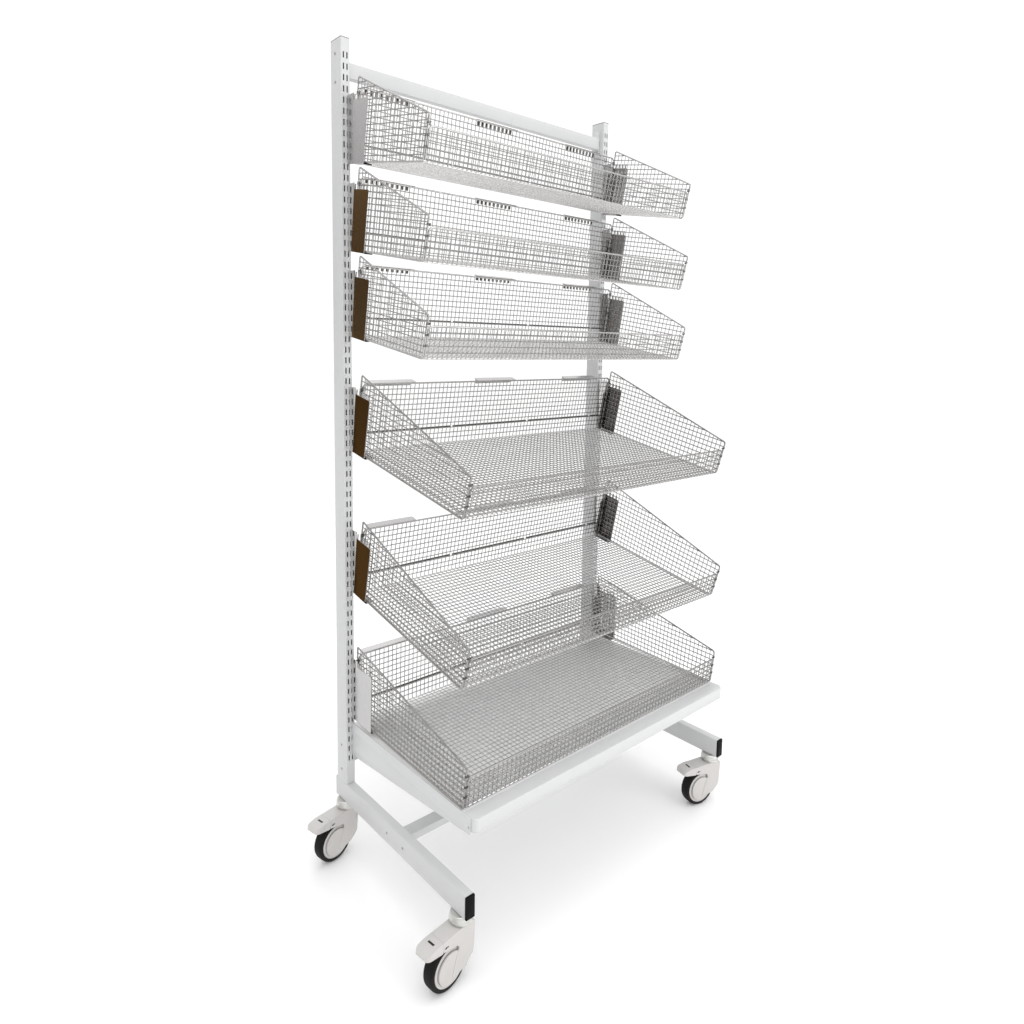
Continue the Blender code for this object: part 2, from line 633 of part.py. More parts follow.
for end, y in caster_y.items():
    for side, sign in (("left", -1), ("right", 1)):
        name = f"caster_{end}_{side}"
        swivel = empty(name + "_swivel", (sign * upright_x, y, 0), rack)
        swivel.rotation_euler.z = math.radians(CASTER_TURN[f"{end}_{side}"])
        axle_at = empty(name + "_axle_line", (-TRAIL, 0, axle_z), swivel)

        collar_top = CASTER_HEIGHT - GAP
        collar_low = HOOD_TOP + GAP
        collar_high = (collar_top + collar_low) / 2
        stem = add(name + "_stem", profile_mesh("stem", [
            (0, CASTER_HEIGHT + STEM_UP), (STEM_RADIUS, CASTER_HEIGHT + STEM_UP), (STEM_RADIUS, collar_top),
            (COLLAR_NECK, collar_top), (COLLAR_RADIUS, collar_high), (COLLAR_FOOT, collar_low),
            (SPIGOT_RADIUS, collar_low), (SPIGOT_RADIUS, HOOD_TOP - SPIGOT_DEPTH),
            (0, HOOD_TOP - SPIGOT_DEPTH),
        ], False), (0, 0, 0), pale(name + "_stem"), swivel)
        turned(stem, 16)

        housing = add(name + "_housing", outline_mesh("housing", hood_outline(), 2 * hood_half, "XZ"),
                      (0, 0, 0), pale(name + "_housing"), swivel)
        rounded(housing, HOOD_ROUND, 1)
        boss = add(name + "_boss", rod_mesh("boss", BOSS_RADIUS, 2 * boss_half, "Y", 24),
                   (0, 0, 0), None, axle_at)
        boolean(housing, boss, "UNION")
        well = add(name + "_well", rod_mesh("well", WHEEL_RADIUS + RUN_PLAY, 2 * wheel_gap, "Y", 28),
                   (0, 0, 0), None, axle_at)
        boolean(housing, well, "DIFFERENCE")
        seat = add(name + "_axle_seat", rod_mesh("axle_seat", AXLE_RADIUS + BORE_PLAY,
                                                 2 * (wheel_gap + AXLE_SEAT + BORE_PLAY), "Y", 12),
                   (0, 0, 0), None, axle_at)
        boolean(housing, seat, "DIFFERENCE")
        socket_depth = SPIGOT_DEPTH + BORE_PLAY + OVERCUT
        socket = add(name + "_socket", rod_mesh("socket", SPIGOT_RADIUS + BORE_PLAY, socket_depth, "Z", 16),
                     (0, 0, HOOD_TOP + OVERCUT - socket_depth / 2), None, swivel)
        boolean(housing, socket, "DIFFERENCE")
        knuckle_seat = add(name + "_knuckle_seat", rod_mesh("knuckle_seat", KNUCKLE_RADIUS + GAP,
                                                            KNUCKLE_WIDTH + 2 * GAP, "Y", 16),
                           (-PEDAL_HINGE, 0, hinge_z), None, swivel)
        boolean(housing, knuckle_seat, "DIFFERENCE")

        hinge = empty(name + "_pedal_hinge", (-PEDAL_HINGE, 0, hinge_z), swivel)
        pedal_rim = [(x + PEDAL_HINGE, z - hinge_z) for x, z in pedal_side()]
        pedal = add(name + "_pedal", outline_mesh("pedal", pedal_rim, 2 * (hood_half + OVERCUT), "XZ"),
                    (0, 0, 0), pale(name + "_pedal"), hinge)
        plan_rim = [(x + PEDAL_HINGE, y) for x, y in pedal_plan()]
        plan = add(name + "_plan", outline_mesh("plan", plan_rim, 2 * HOOD_TOP, "XY"), (0, 0, 0), None, hinge)
        boolean(pedal, plan, "INTERSECT")
        knuckle = add(name + "_knuckle", rod_mesh("knuckle", KNUCKLE_RADIUS, KNUCKLE_WIDTH, "Y", 16),
                      (0, 0, 0), None, hinge)
        arch_radius = WHEEL_RADIUS + RUN_PLAY + 0.5 * PEDAL_SWING * (PEDAL_TIP - PEDAL_HINGE)
        arch = add(name + "_arch", rod_mesh("arch", arch_radius, 2 * wheel_gap, "Y", 28),
                   (0, 0, 0), None, axle_at)
        boolean(pedal, arch, "DIFFERENCE")
        boolean(pedal, knuckle, "UNION")

        hub_radius = WHEEL_RADIUS - TYRE_DEPTH
        for part, profile, look in (
            ("hub", ring_profile(AXLE_RADIUS + BORE_PLAY, hub_radius, TYRE_WIDTH / 2, 0), pale),
            ("tyre", ring_profile(hub_radius + GAP, WHEEL_RADIUS, TYRE_WIDTH / 2, TYRE_ROUND), black),
        ):
            wheel = add(f"{name}_{part}", profile_mesh(part, profile, True, math.pi / WHEEL_SIDES),
                        (0, 0, 0), look(f"{name}_{part}"), axle_at)
            wheel.rotation_euler.x = math.pi / 2
            turned(wheel, WHEEL_SIDES)
        add(name + "_axle", rod_mesh("axle", AXLE_RADIUS, 2 * (wheel_gap + AXLE_SEAT), "Y", 12), (0, 0, 0),
            stainless(name + "_axle"), axle_at)

for part in parts.objects:
    if part.type == "MESH" and "caster" in part.name:
        part.data.shade_smooth()
        part.data.set_sharp_from_angle(angle=math.radians(35))

# The model's origin is on the floor, midway between the outermost points.
bpy.context.view_layer.update()
graph = bpy.context.evaluated_depsgraph_get()
corners = []
for part in parts.objects:
    if part.type == "MESH":
        seen = part.evaluated_get(graph)
        corners += [seen.matrix_world @ vertex.co for vertex in seen.data.vertices]
for axis in (0, 1):
    rack.location[axis] = -(min(c[axis] for c in corners) + max(c[axis] for c in corners)) / 2
bpy.context.view_layer.update()
print("rack height", round(upright_end + GAP + CAP_TOP, 4), "m with", slot_count, "slots a column")
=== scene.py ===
import functools
import json
import math

import bmesh
import bpy
from mathutils import Matrix, Vector


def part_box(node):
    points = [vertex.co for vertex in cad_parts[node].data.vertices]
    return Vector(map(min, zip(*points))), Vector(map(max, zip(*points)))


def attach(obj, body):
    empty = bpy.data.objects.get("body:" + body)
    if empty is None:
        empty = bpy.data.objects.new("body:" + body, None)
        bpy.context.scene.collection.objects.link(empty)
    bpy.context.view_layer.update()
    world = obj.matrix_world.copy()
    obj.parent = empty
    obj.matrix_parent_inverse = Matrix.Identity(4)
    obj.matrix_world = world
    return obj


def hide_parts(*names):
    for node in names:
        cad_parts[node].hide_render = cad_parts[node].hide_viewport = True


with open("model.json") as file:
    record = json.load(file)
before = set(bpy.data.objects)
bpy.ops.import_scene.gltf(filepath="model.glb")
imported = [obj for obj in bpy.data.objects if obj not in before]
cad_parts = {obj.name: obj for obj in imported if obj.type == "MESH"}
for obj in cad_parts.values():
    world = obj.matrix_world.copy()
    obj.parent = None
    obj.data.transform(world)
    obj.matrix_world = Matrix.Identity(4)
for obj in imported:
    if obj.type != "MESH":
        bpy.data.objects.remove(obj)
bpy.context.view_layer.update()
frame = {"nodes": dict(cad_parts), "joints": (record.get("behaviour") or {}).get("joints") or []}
joints = {joint["name"]: joint for joint in frame["joints"]}
sides = {"left": -1, "right": 1}
clearance = 0.0003

# The rack's own zero: midway between the uprights, on their front faces, on the floor
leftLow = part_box("left_upright")[0]
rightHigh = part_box("right_upright")[1]
rackX = (leftLow.x + rightHigh.x) / 2
rackY = leftLow.y
rackPlace = Matrix.Translation((rackX, rackY, 0))
print("frame loaded, rack zero at", round(rackX, 4), round(rackY, 4))

# camera and light
cameraSet = {"place": (-1.280610, -1.560888, 1.295496), "turn": 41.85999, "down": 5.47799, "roll": 0.87709,
             "lens": 25.17818, "shiftX": -0.0108933, "shiftY": -0.0933332, "sensor": 36}


def addCamera(s):
    turn, down, roll = (math.radians(s[key]) for key in ("turn", "down", "roll"))
    ahead = Vector((math.sin(turn) * math.cos(down), math.cos(turn) * math.cos(down), -math.sin(down)))
    across = Vector((math.cos(turn), -math.sin(turn), 0))
    up = across.cross(ahead)
    right = math.cos(roll) * across + math.sin(roll) * up
    top = math.cos(roll) * up - math.sin(roll) * across
    place = Matrix((right, top, -ahead)).transposed().to_4x4()
    place.translation = rackPlace @ Vector(s["place"])
    data = bpy.data.cameras.new("photoCamera")
    data.sensor_width = s["sensor"]
    data.lens = s["lens"]
    data.shift_x = s["shiftX"]
    data.shift_y = s["shiftY"]
    camera = bpy.data.objects.new("photoCamera", data)
    camera.matrix_world = place
    bpy.context.scene.collection.objects.link(camera)
    bpy.context.scene.camera = camera


addCamera(cameraSet)

lightSet = {
    "sky": (1.15, 1.15, 1.15), "band": (0.66, 0.65, 0.64), "leftBand": (0.10, 0.088, 0.078), "bandTop": 0.46,
    "leftRange": (-0.7, 0.1), "backdrop": (1.1, 1.1, 1.1), "target": (0, -0.2, 0.95),
    "areas": (("softKey", (-2.6, -3.4, 3.6), 3.2, 24), ("softFront", (1.4, -4.4, 1.7), 3.0, 48),
              ("softBack", (0.6, 3.2, 3.0), 3.0, 10), ("softTop", (-0.3, -0.8, 4.2), 2.2, 22)),
}
bpy.context.scene.view_settings.view_transform = "Standard"
for name, place, size, power in lightSet["areas"]:
    lamp = bpy.data.lights.new(name, "AREA")
    lamp.shape = "DISK"
    lamp.size = size
    lamp.energy = power
    holder = bpy.data.objects.new(name, lamp)
    holder.location = rackPlace @ Vector(place)
    aim = rackPlace @ Vector(lightSet["target"]) - holder.location
    holder.rotation_euler = aim.to_track_quat("-Z", "Y").to_euler()
    bpy.context.scene.collection.objects.link(holder)


# node helpers
def wire(tree, value, socket):
    if isinstance(value, list):
        for item in value:
            tree.links.new(item, socket)
    elif isinstance(value, bpy.types.NodeSocket):
        tree.links.new(value, socket)
    else:
        socket.default_value = value


def put(tree, kind, links=None, give=0, **settings):
    # kind comes without its prefix, and the tree's own kind of node is looked for first
    own = tree.bl_idname.removesuffix("Tree")
    prefix = next(word for word in (own, "ShaderNode", "FunctionNode") if hasattr(bpy.types, word + kind))
    node = tree.nodes.new(prefix + kind)
    for key, value in settings.items():
        setattr(node, key, value)
    for key, value in (links or {}).items():
        wire(tree, value, node.inputs[key])
    return node.outputs[give]


def calc(tree, how, *values):
    return put(tree, "Math", dict(enumerate(values)), operation=how)


def sums(tree):
    return [functools.partial(calc, tree, how) for how in ("ADD", "SUBTRACT", "MULTIPLY", "DIVIDE")]


def vector(tree, x, y, z):
    return put(tree, "CombineXYZ", {"X": x, "Y": y, "Z": z})


def mixed(tree, share, one, two, **settings):
    return put(tree, "Mix", {0: share, 6: one, 7: two}, 2, data_type="RGBA", **settings)


def solid(colour):
    return (*colour, 1)


def socketKind(value):
    if isinstance(value, str):
        return value
    if isinstance(value, tuple):
        return "Vector" if len(value) == 3 else "Color"
    return "Int" if isinstance(value, int) else "Float"


def newGroup(name, kind, inputs, outputs):
    # an input is given by its first value, or by its kind where it has none
    tree = bpy.data.node_groups.new(name, kind)
    for label, value in inputs.items():
        socket = tree.interface.new_socket(label, in_out="INPUT", socket_type="NodeSocket" + socketKind(value))
        if not isinstance(value, str):
            socket.default_value = value
    for label, value in outputs.items():
        tree.interface.new_socket(label, in_out="OUTPUT", socket_type="NodeSocket" + value)
    start = tree.nodes.new("NodeGroupInput")
    end = tree.nodes.new("NodeGroupOutput")
    return tree, start.outputs, end.inputs


def shaderGroup(name, inputs, outputs):
    return newGroup(name, "ShaderNodeTree", {"Vector": "Vector", **inputs}, outputs)


def shapeGroup(name, inputs):
    return newGroup(name, "GeometryNodeTree", {**inputs, "Material": "Material"}, {"Geometry": "Geometry"})


def dressed(tree, geometry, material, rounded=True):
    whole = put(tree, "RealizeInstances", {0: geometry})
    if rounded:
        whole = put(tree, "SetShadeSmooth", {"Geometry": whole})
    return put(tree, "SetMaterial", {"Geometry": whole, "Material": material})


def lightWorld(s):
    # white behind the rack; reflections and light come from a bright sky over a dimmer room, darkest on the left
    world = bpy.data.worlds.new("studio")
    bpy.context.scene.world = world
    world.use_nodes = True
    tree = world.node_tree
    way = put(tree, "SeparateXYZ", {0: put(tree, "TexCoord", give="Generated")}).node.outputs
    rise = put(tree, "MapRange", {0: way[2], 1: 0.0, 2: s["bandTop"]}, interpolation_type="SMOOTHSTEP")
    start, stop = s["leftRange"]
    turn = put(tree, "MapRange", {0: way[0], 1: start, 2: stop}, interpolation_type="SMOOTHSTEP")
    band = mixed(tree, turn, solid(s["leftBand"]), solid(s["band"]))
    sky = mixed(tree, rise, band, solid(s["sky"]))
    seen = put(tree, "LightPath", give="Is Camera Ray")
    wire(tree, mixed(tree, seen, sky, solid(s["backdrop"])), tree.nodes["Background"].inputs["Color"])


lightWorld(lightSet)


# shader groups: tone, drawn streaks, scuffs and floor dust
def noise(tree, place, scale, detail):
    return put(tree, "TexNoise", {"Vector": place, "Scale": scale, "Detail": detail})


def grainGroup():
    tree, given, result = shaderGroup("grainTone", {
        "Cloud scale": 6.0, "Grain scale": 900.0, "Dark": (0.7, 0.7, 0.7, 1), "Light": (0.8, 0.8, 0.8, 1)},
        {"Color": "Color", "Height": "Float", "Cloud": "Float"})
    add, _, times, _ = sums(tree)
    cloud = noise(tree, given["Vector"], given["Cloud scale"], 3.0)
    grain = noise(tree, given["Vector"], given["Grain scale"], 2.0)
    blend = add(times(cloud, 0.7), times(grain, 0.3))
    wire(tree, mixed(tree, blend, given["Dark"], given["Light"]), result["Color"])
    wire(tree, grain, result["Height"])
    wire(tree, cloud, result["Cloud"])
    return tree


def streakGroup():
    tree, given, result = shaderGroup("drawnStreaks", {"Stretch": (40.0, 900.0, 900.0), "Sharpness": 2.0},
                                      {"Streak": "Float"})
    stretched = put(tree, "VectorMath", {0: given["Vector"], 1: given["Stretch"]}, operation="MULTIPLY")
    wire(tree, calc(tree, "POWER", noise(tree, stretched, 1.0, 4.0), given["Sharpness"]), result["Streak"])
    return tree


def scuffGroup():
    tree, given, result = shaderGroup("fineScuffs", {"Scale": 60.0, "Amount": 0.5}, {"Mask": "Float"})
    times = sums(tree)[2]
    cells = put(tree, "TexVoronoi", {"Vector": given["Vector"], "Scale": given["Scale"]}, feature="DISTANCE_TO_EDGE")
    thin = calc(tree, "LESS_THAN", cells, 0.012)
    kept = calc(tree, "GREATER_THAN", noise(tree, given["Vector"], 14.0, 2.0), 0.6)
    wire(tree, times(times(thin, kept), given["Amount"]), result["Mask"])
    return tree


def dustGroup():
    tree, given, result = shaderGroup("lowDust", {"Reach": 0.2, "Amount": 0.3}, {"Mask": "Float"})
    _, less, times, over = sums(tree)
    height = put(tree, "SeparateXYZ", {0: given["Vector"]}, 2)
    low = calc(tree, "MAXIMUM", less(1.0, over(height, given["Reach"])), 0.0)
    speck = noise(tree, given["Vector"], 45.0, 5.0)
    wire(tree, times(times(low, speck), given["Amount"]), result["Mask"])
    return tree


groups = {"grain": grainGroup(), "streak": streakGroup(), "scuff": scuffGroup(), "dust": dustGroup()}

# materials: dark and light tone, scales of cloud and grain, range of roughness, bump and its depth
plain = {"bump": 0.05, "bumpSize": 0.0003}
metal = {"bump": 0.05, "bumpSize": 0.0002, "metal": 1.0}
meshMetal = {**metal, "cloud": 18.0, "grain": 420.0, "rough": (0.24, 0.40), "stretch": (300.0, 300.0, 300.0)}
rimMetal = {**metal, "cloud": 14.0, "grain": 300.0, "rough": (0.18, 0.30), "bump": 0.04,
            "stretch": (260.0, 260.0, 260.0)}
sheetMetal = {**metal, "grain": 700.0, "stretch": (1400.0, 1400.0, 30.0), "scuff": 0.2}
brownReflectionMetal = {**sheetMetal, "cloud": 5.0, "rough": (0.26, 0.40)}
greyMetal = {**sheetMetal, "cloud": 6.0, "rough": (0.28, 0.42)}
dustTone = (0.40, 0.38, 0.35)
scuffShade = 0.8
finishSet = {
    "powderCoat": {**plain, "tones": ((0.565, 0.57, 0.574), (0.635, 0.642, 0.648)), "cloud": 3.0, "grain": 1100.0,
                   "rough": (0.34, 0.46), "bumpSize": 0.0004, "dust": (0.25, 0.35), "scuff": 0.35, "coat": 0.12},
    # painted shade: near black for the shade inside the tubes' bore
    "tubeInside": {**plain, "tones": ((0.010, 0.010, 0.010), (0.022, 0.021, 0.021)), "cloud": 12.0, "grain": 900.0,
                   "rough": (0.75, 0.9), "bumpSize": 0.0004, "specular": 0.05},
    "paleCap": {**plain, "tones": ((0.27, 0.27, 0.265), (0.36, 0.36, 0.35)), "cloud": 9.0, "grain": 1500.0,
                "rough": (0.42, 0.52)},
    "blackCap": {**plain, "tones": ((0.003, 0.003, 0.0032), (0.007, 0.0066, 0.0066)), "cloud": 30.0, "grain": 1800.0,
                 "rough": (0.5, 0.65), "bump": 0.12, "scuff": 0.3, "specular": 0.08},
    # painted light: a lighter top for the shelf under the lowest basket, against the mesh's shade
    "shelfBed": {**plain, "tones": ((0.80, 0.80, 0.80), (0.87, 0.87, 0.87)), "cloud": 3.0, "grain": 900.0,
                 "rough": (0.34, 0.46)},
    "casterShell": {**plain, "tones": ((0.51, 0.492, 0.48), (0.59, 0.574, 0.564)), "cloud": 12.0, "grain": 1600.0,
                    "rough": (0.30, 0.42), "bump": 0.06, "dust": (0.13, 0.45), "scuff": 0.3, "coat": 0.10},
    "tyreRubber": {"tones": ((0.005, 0.0047, 0.0045), (0.013, 0.0125, 0.012)), "cloud": 25.0, "grain": 1300.0,
                   "rough": (0.6, 0.78), "bump": 0.16, "bumpSize": 0.0005, "dust": (0.06, 0.06), "specular": 0.15},
    # one wire steel in lit and shaded copies: the lighter ones are painted light, for upright and floor wires and for
    # the rims of the upper baskets
    "brightWire": {**meshMetal, "tones": ((0.36, 0.354, 0.35), (0.56, 0.55, 0.545))},
    "wallWire": {**meshMetal, "tones": ((0.26, 0.253, 0.248), (0.43, 0.42, 0.414))},
    "shelfWire": {**meshMetal, "tones": ((0.60, 0.592, 0.587), (0.82, 0.81, 0.804))},
    "paleRim": {**rimMetal, "tones": ((0.40, 0.392, 0.386), (0.64, 0.63, 0.622))},
    "rimWire": {**rimMetal, "tones": ((0.24, 0.232, 0.226), (0.46, 0.45, 0.442))},
    "tieWire": {**metal, "tones": ((0.06, 0.056, 0.053), (0.13, 0.124, 0.118)), "cloud": 20.0, "grain": 500.0,
                "rough": (0.26, 0.42)},
    # near black: for the dark wire on the back, and as painted shade on the strips' legs
    "darkWire": {**metal, "tones": ((0.055, 0.05, 0.046), (0.13, 0.12, 0.11)), "cloud": 20.0, "grain": 500.0,
                 "rough": (0.32, 0.48)},
    "mirrorSteel": {**sheetMetal, "tones": ((0.64, 0.632, 0.625), (0.76, 0.752, 0.745)), "cloud": 7.0,
                    "rough": (0.07, 0.15), "bump": 0.03, "scuff": 0.15},
    "paleSteel": {**sheetMetal, "tones": ((0.48, 0.47, 0.47), (0.60, 0.59, 0.59)), "cloud": 7.0,
                  "rough": (0.24, 0.38), "scuff": 0.25},
    # painted reflections: the brown, deep brown and dark copies, and grey on the right plates, stand for what the
    # brackets' polished steel reflects
    "brownSteel": {**brownReflectionMetal, "tones": ((0.118, 0.071, 0.0355), (0.184, 0.116, 0.062)),
                   "edge": (0.72, 0.62, 0.52)},
    "deepBrownSteel": {**brownReflectionMetal, "tones": ((0.036, 0.0186, 0.0078), (0.058, 0.032, 0.0148)),
                       "edge": (0.72, 0.60, 0.50)},
    "greySteel": {**greyMetal, "tones": ((0.40, 0.384, 0.378), (0.56, 0.54, 0.534))},
    "darkSteel": {**greyMetal, "tones": ((0.13, 0.118, 0.114), (0.21, 0.193, 0.188)), "edge": (0.6, 0.58, 0.57)},
    "platedCollar": {**metal, "tones": ((0.60, 0.60, 0.575), (0.76, 0.76, 0.735)), "cloud": 40.0, "grain": 900.0,
                     "rough": (0.36, 0.50), "bump": 0.04},
    "zincScrew": {**metal, "tones": ((0.30, 0.30, 0.29), (0.48, 0.475, 0.46)), "cloud": 60.0, "grain": 1500.0,
                  "rough": (0.30, 0.45), "bump": 0.08},
    "inkMark": {"tones": ((0.008, 0.008, 0.008), (0.02, 0.019, 0.018)), "cloud": 80.0, "grain": 2000.0,
                "rough": (0.5, 0.62), "bump": 0.04, "bumpSize": 0.0002},
    "paleFloor": {"tones": ((0.945, 0.945, 0.945), (0.955, 0.955, 0.955)), "cloud": 0.6, "grain": 60.0,
                  "rough": (0.75, 0.85), "bump": 0.02, "bumpSize": 0.001},
}


def finish(name, s):
    material = bpy.data.materials.new(name)
    material.use_nodes = True
    tree = material.node_tree
    place = put(tree, "TexCoord", give="Object")
    dark, light = s["tones"]
    tone = put(tree, "Group", {
        "Vector": place, "Cloud scale": s["cloud"], "Grain scale": s["grain"], "Dark": solid(dark),
        "Light": solid(light),
    }, node_tree=groups["grain"]).node.outputs
    colour, spread = tone["Color"], tone["Cloud"]
    if "stretch" in s:  # rolled or drawn metal
        spread = put(tree, "Group", {"Vector": place, "Stretch": s["stretch"]}, node_tree=groups["streak"])
        lifted = calc(tree, "MULTIPLY_ADD", spread, 0.5, 0.8)
        colour = mixed(tree, 1.0, colour, lifted, blend_type="MULTIPLY")
    if "dust" in s:
        reach, amount = s["dust"]
        dust = put(tree, "Group", {"Vector": place, "Reach": reach, "Amount": amount}, node_tree=groups["dust"])
        colour = mixed(tree, dust, colour, solid(dustTone))
    if "scuff" in s:
        scuff = put(tree, "Group", {"Vector": place, "Amount": s["scuff"]}, node_tree=groups["scuff"])
        colour = mixed(tree, scuff, colour, solid(scuffShade * value for value in dark))
    least, most = s["rough"]
    rough = put(tree, "MapRange", {0: spread, 1: 0.25, 2: 0.75, 3: least, 4: most})
    bump = put(tree, "Bump", {"Strength": s["bump"], "Distance": s["bumpSize"], "Height": tone["Height"]})
    shader = tree.nodes["Principled BSDF"].inputs
    for label, value in (
        ("Metallic", s.get("metal", 0.0)), ("Coat Weight", s.get("coat", 0.0)), ("Coat Roughness", 0.3),
        ("Specular IOR Level", s.get("specular", 0.5)), ("Specular Tint", solid(s.get("edge", (1, 1, 1)))),
        ("Base Color", colour), ("Roughness", rough), ("Normal", bump),
    ):
        wire(tree, value, shader[label])
    return material


look = {name: finish(name, settings) for name, settings in finishSet.items()}
print("materials", len(look))


# mesh helpers
def scratchObject(name, mesh):
    piece = bpy.data.objects.new(name, mesh)
    bpy.context.scene.collection.objects.link(piece)
    return piece


def addPiece(name, mesh, body, slot, *cadNodes):
    piece = scratchObject(name, mesh)
    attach(piece, body)
    if cadNodes:
        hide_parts(*cadNodes)


def bakeMesh(piece, name):
    bpy.context.view_layer.update()
    graph = bpy.context.evaluated_depsgraph_get()
    mesh = bpy.data.meshes.new_from_object(piece.evaluated_get(graph), preserve_all_data_layers=True, depsgraph=graph)
    mesh.name = name
    piece.modifiers.clear()
    bpy.data.objects.remove(piece)
    return mesh


def runTree(name, tree, values, mesh=None):
    # a setting goes to the input of its name, "slotPitch" to "Slot pitch"
    source = scratchObject(name, mesh or bpy.data.meshes.new(name))
    modifier = source.modifiers.new("shape", "NODES")
    modifier.node_group = tree
    for item in tree.interface.items_tree:
        words = item.name.title().split()
        key = words[0].lower() + "".join(words[1:])
        if item.item_type == "SOCKET" and item.in_out == "INPUT" and key in values:
            modifier[item.identifier] = values[key]
    return bakeMesh(source, name)


def meshFrom(bm, name, *materials):
    mesh = bpy.data.meshes.new(name)
    bm.to_mesh(mesh)
    bm.free()
    for material in materials:
        mesh.materials.append(material)
    return mesh


def smooth(mesh, degrees=35):
    mesh.shade_smooth()
    mesh.set_sharp_from_angle(angle=math.radians(degrees))
    return mesh


def barInto(bm, low, high, axis, corner, ease=0.0):
    # a box with its long edges rounded, and its end edges eased
    low, high = Vector(low), Vector(high)
    box = bmesh.ops.create_cube(bm, size=1.0)["verts"]
    for vert in box:
        vert.co = Vector([low[i] + (vert.co[i] + 0.5) * (high[i] - low[i]) for i in range(3)])

    def run(edge):
        return abs((edge.verts[0].co - edge.verts[1].co)[axis])

    def atEnd(edge):
        return min(abs(edge.verts[0].co[axis] - end[axis]) for end in (low, high)) < 1e-7

    long = [edge for edge in {edge for vert in box for edge in vert.link_edges} if run(edge) > 1e-6]
    done = bmesh.ops.bevel(bm, geom=long, offset=corner, segments=4, profile=0.5, affect="EDGES")
    if ease:
        verts = {vert for face in done["faces"] for vert in face.verts}
        ends = {edge for vert in verts for edge in vert.link_edges if run(edge) < 1e-7 and atEnd(edge)}
        bmesh.ops.bevel(bm, geom=list(ends), offset=ease, segments=2, profile=0.5, affect="EDGES")


def barMesh(name, bars, material):
    bm = bmesh.new()
    for bar in bars:
        barInto(bm, *bar)
    return smooth(meshFrom(bm, name, material), 40)


def filleted(points, radii, steps=4):
    # a closed outline with its corners rounded
    path = []
    count = len(points)
    for i, (here, radius) in enumerate(zip(points, radii)):
        here = Vector(here)
        before = Vector(points[i - 1]) - here
        after = Vector(points[(i + 1) % count]) - here
        half = before.angle(after) / 2
        reach = min(radius / math.tan(half), before.length * 0.48, after.length * 0.48) if radius else 0
        if reach < 1e-7:
            path.append(here)
            continue
        radius = reach * math.tan(half)
        middle = here + (before.normalized() + after.normalized()).normalized() * (radius / math.sin(half))
        first = here + before.normalized() * reach - middle
        last = here + after.normalized() * reach - middle
        path += [middle + first.lerp(last, step / steps).normalized() * radius for step in range(steps + 1)]
    return path


def slabInto(bm, path, low, high, place):
    # an outline drawn in two axes and given thickness along the third
    rings = [[bm.verts.new(place(point, level)) for point in path] for level in (low, high)]
    bm.faces.new(list(reversed(rings[0])))
    bm.faces.new(rings[1])
    for i in range(len(path)):
        j = (i + 1) % len(path)
        bm.faces.new((rings[0][i], rings[0][j], rings[1][j], rings[1][i]))


def slabMesh(name, path, low, high, place, *materials):
    bm = bmesh.new()
    slabInto(bm, path, low, high, place)
    bmesh.ops.recalc_face_normals(bm, faces=bm.faces)
    return meshFrom(bm, name, *materials)


def circle(radius, steps):
    angles = [2 * math.pi * step / steps for step in range(steps)]
    return [(radius * math.cos(angle), radius * math.sin(angle)) for angle in angles]


def latheMesh(name, profile, steps, turn, material):
    # a closed profile of (radius, along) turned about the second axis
    bm = bmesh.new()
    rings = [[bm.verts.new((r * x, r * y, a)) for r, a in profile] for x, y in circle(1.0, steps)]
    for one, two in zip(rings, rings[1:] + rings[:1]):
        for i in range(len(profile)):
            j = (i + 1) % len(profile)
            bm.faces.new((one[i], two[i], two[j], one[j]))
    bmesh.ops.remove_doubles(bm, verts=bm.verts, dist=1e-7)
    bmesh.ops.recalc_face_normals(bm, faces=bm.faces)
    bmesh.ops.transform(bm, matrix=turn, verts=bm.verts)
    return meshFrom(bm, name, material)


def cutBy(piece, other, how):
    step = piece.modifiers.new("cut", "BOOLEAN")
    step.operation = how
    step.object = other
    step.solver = "EXACT"


def bevelled(piece, width, segments, degrees):
    step = piece.modifiers.new("round", "BEVEL")
    step.width = width
    step.segments = segments
    step.limit_method = "ANGLE"
    step.angle_limit = math.radians(degrees)


def eased(node, name, width, material):
    # a copy of a CAD node with its sharp edges broken
    bm = bmesh.new()
    bm.from_mesh(frame["nodes"][node].data)
    bmesh.ops.remove_doubles(bm, verts=bm.verts, dist=1e-6)
    bmesh.ops.dissolve_limit(bm, angle_limit=math.radians(1), verts=bm.verts, edges=bm.edges)
    piece = scratchObject(name, meshFrom(bm, name, material))
    bevelled(piece, width, 2, 40)
    return smooth(bakeMesh(piece, name), 45)


def bisected(bm, spot, normal, **settings):
    return bmesh.ops.bisect_plane(bm, geom=bm.verts[:] + bm.edges[:] + bm.faces[:], plane_co=spot, plane_no=normal,
                                  **settings)["geom_cut"]


def joined(name, meshes):
    bm = bmesh.new()
    materials = []
    for mesh, place in meshes:
        materials += [material for material in mesh.materials if material not in materials]
        shift = [materials.index(material) for material in mesh.materials]
        copy = mesh.copy()
        copy.transform(place)
        for polygon in copy.polygons:
            polygon.material_index = shift[polygon.material_index]
        bm.from_mesh(copy)
        bpy.data.meshes.remove(copy)
    return meshFrom(bm, name, *materials)


# floor
floorSet = {"half": 30.0, "cells": 8}
floorBm = bmesh.new()
bmesh.ops.create_grid(floorBm, x_segments=floorSet["cells"], y_segments=floorSet["cells"], size=floorSet["half"])
floor = scratchObject("floor", meshFrom(floorBm, "floor", look["paleFloor"]))

# slotted uprights
uprightSet = {"width": 0.023, "depth": 0.050, "wall": 0.0013, "corner": 0.0024, "slotPitch": 0.025, "slotCount": 69,
              "firstSlot": 0.2593, "slotWidth": 0.0035, "slotHeight": 0.014, "slotSpacing": 0.009}


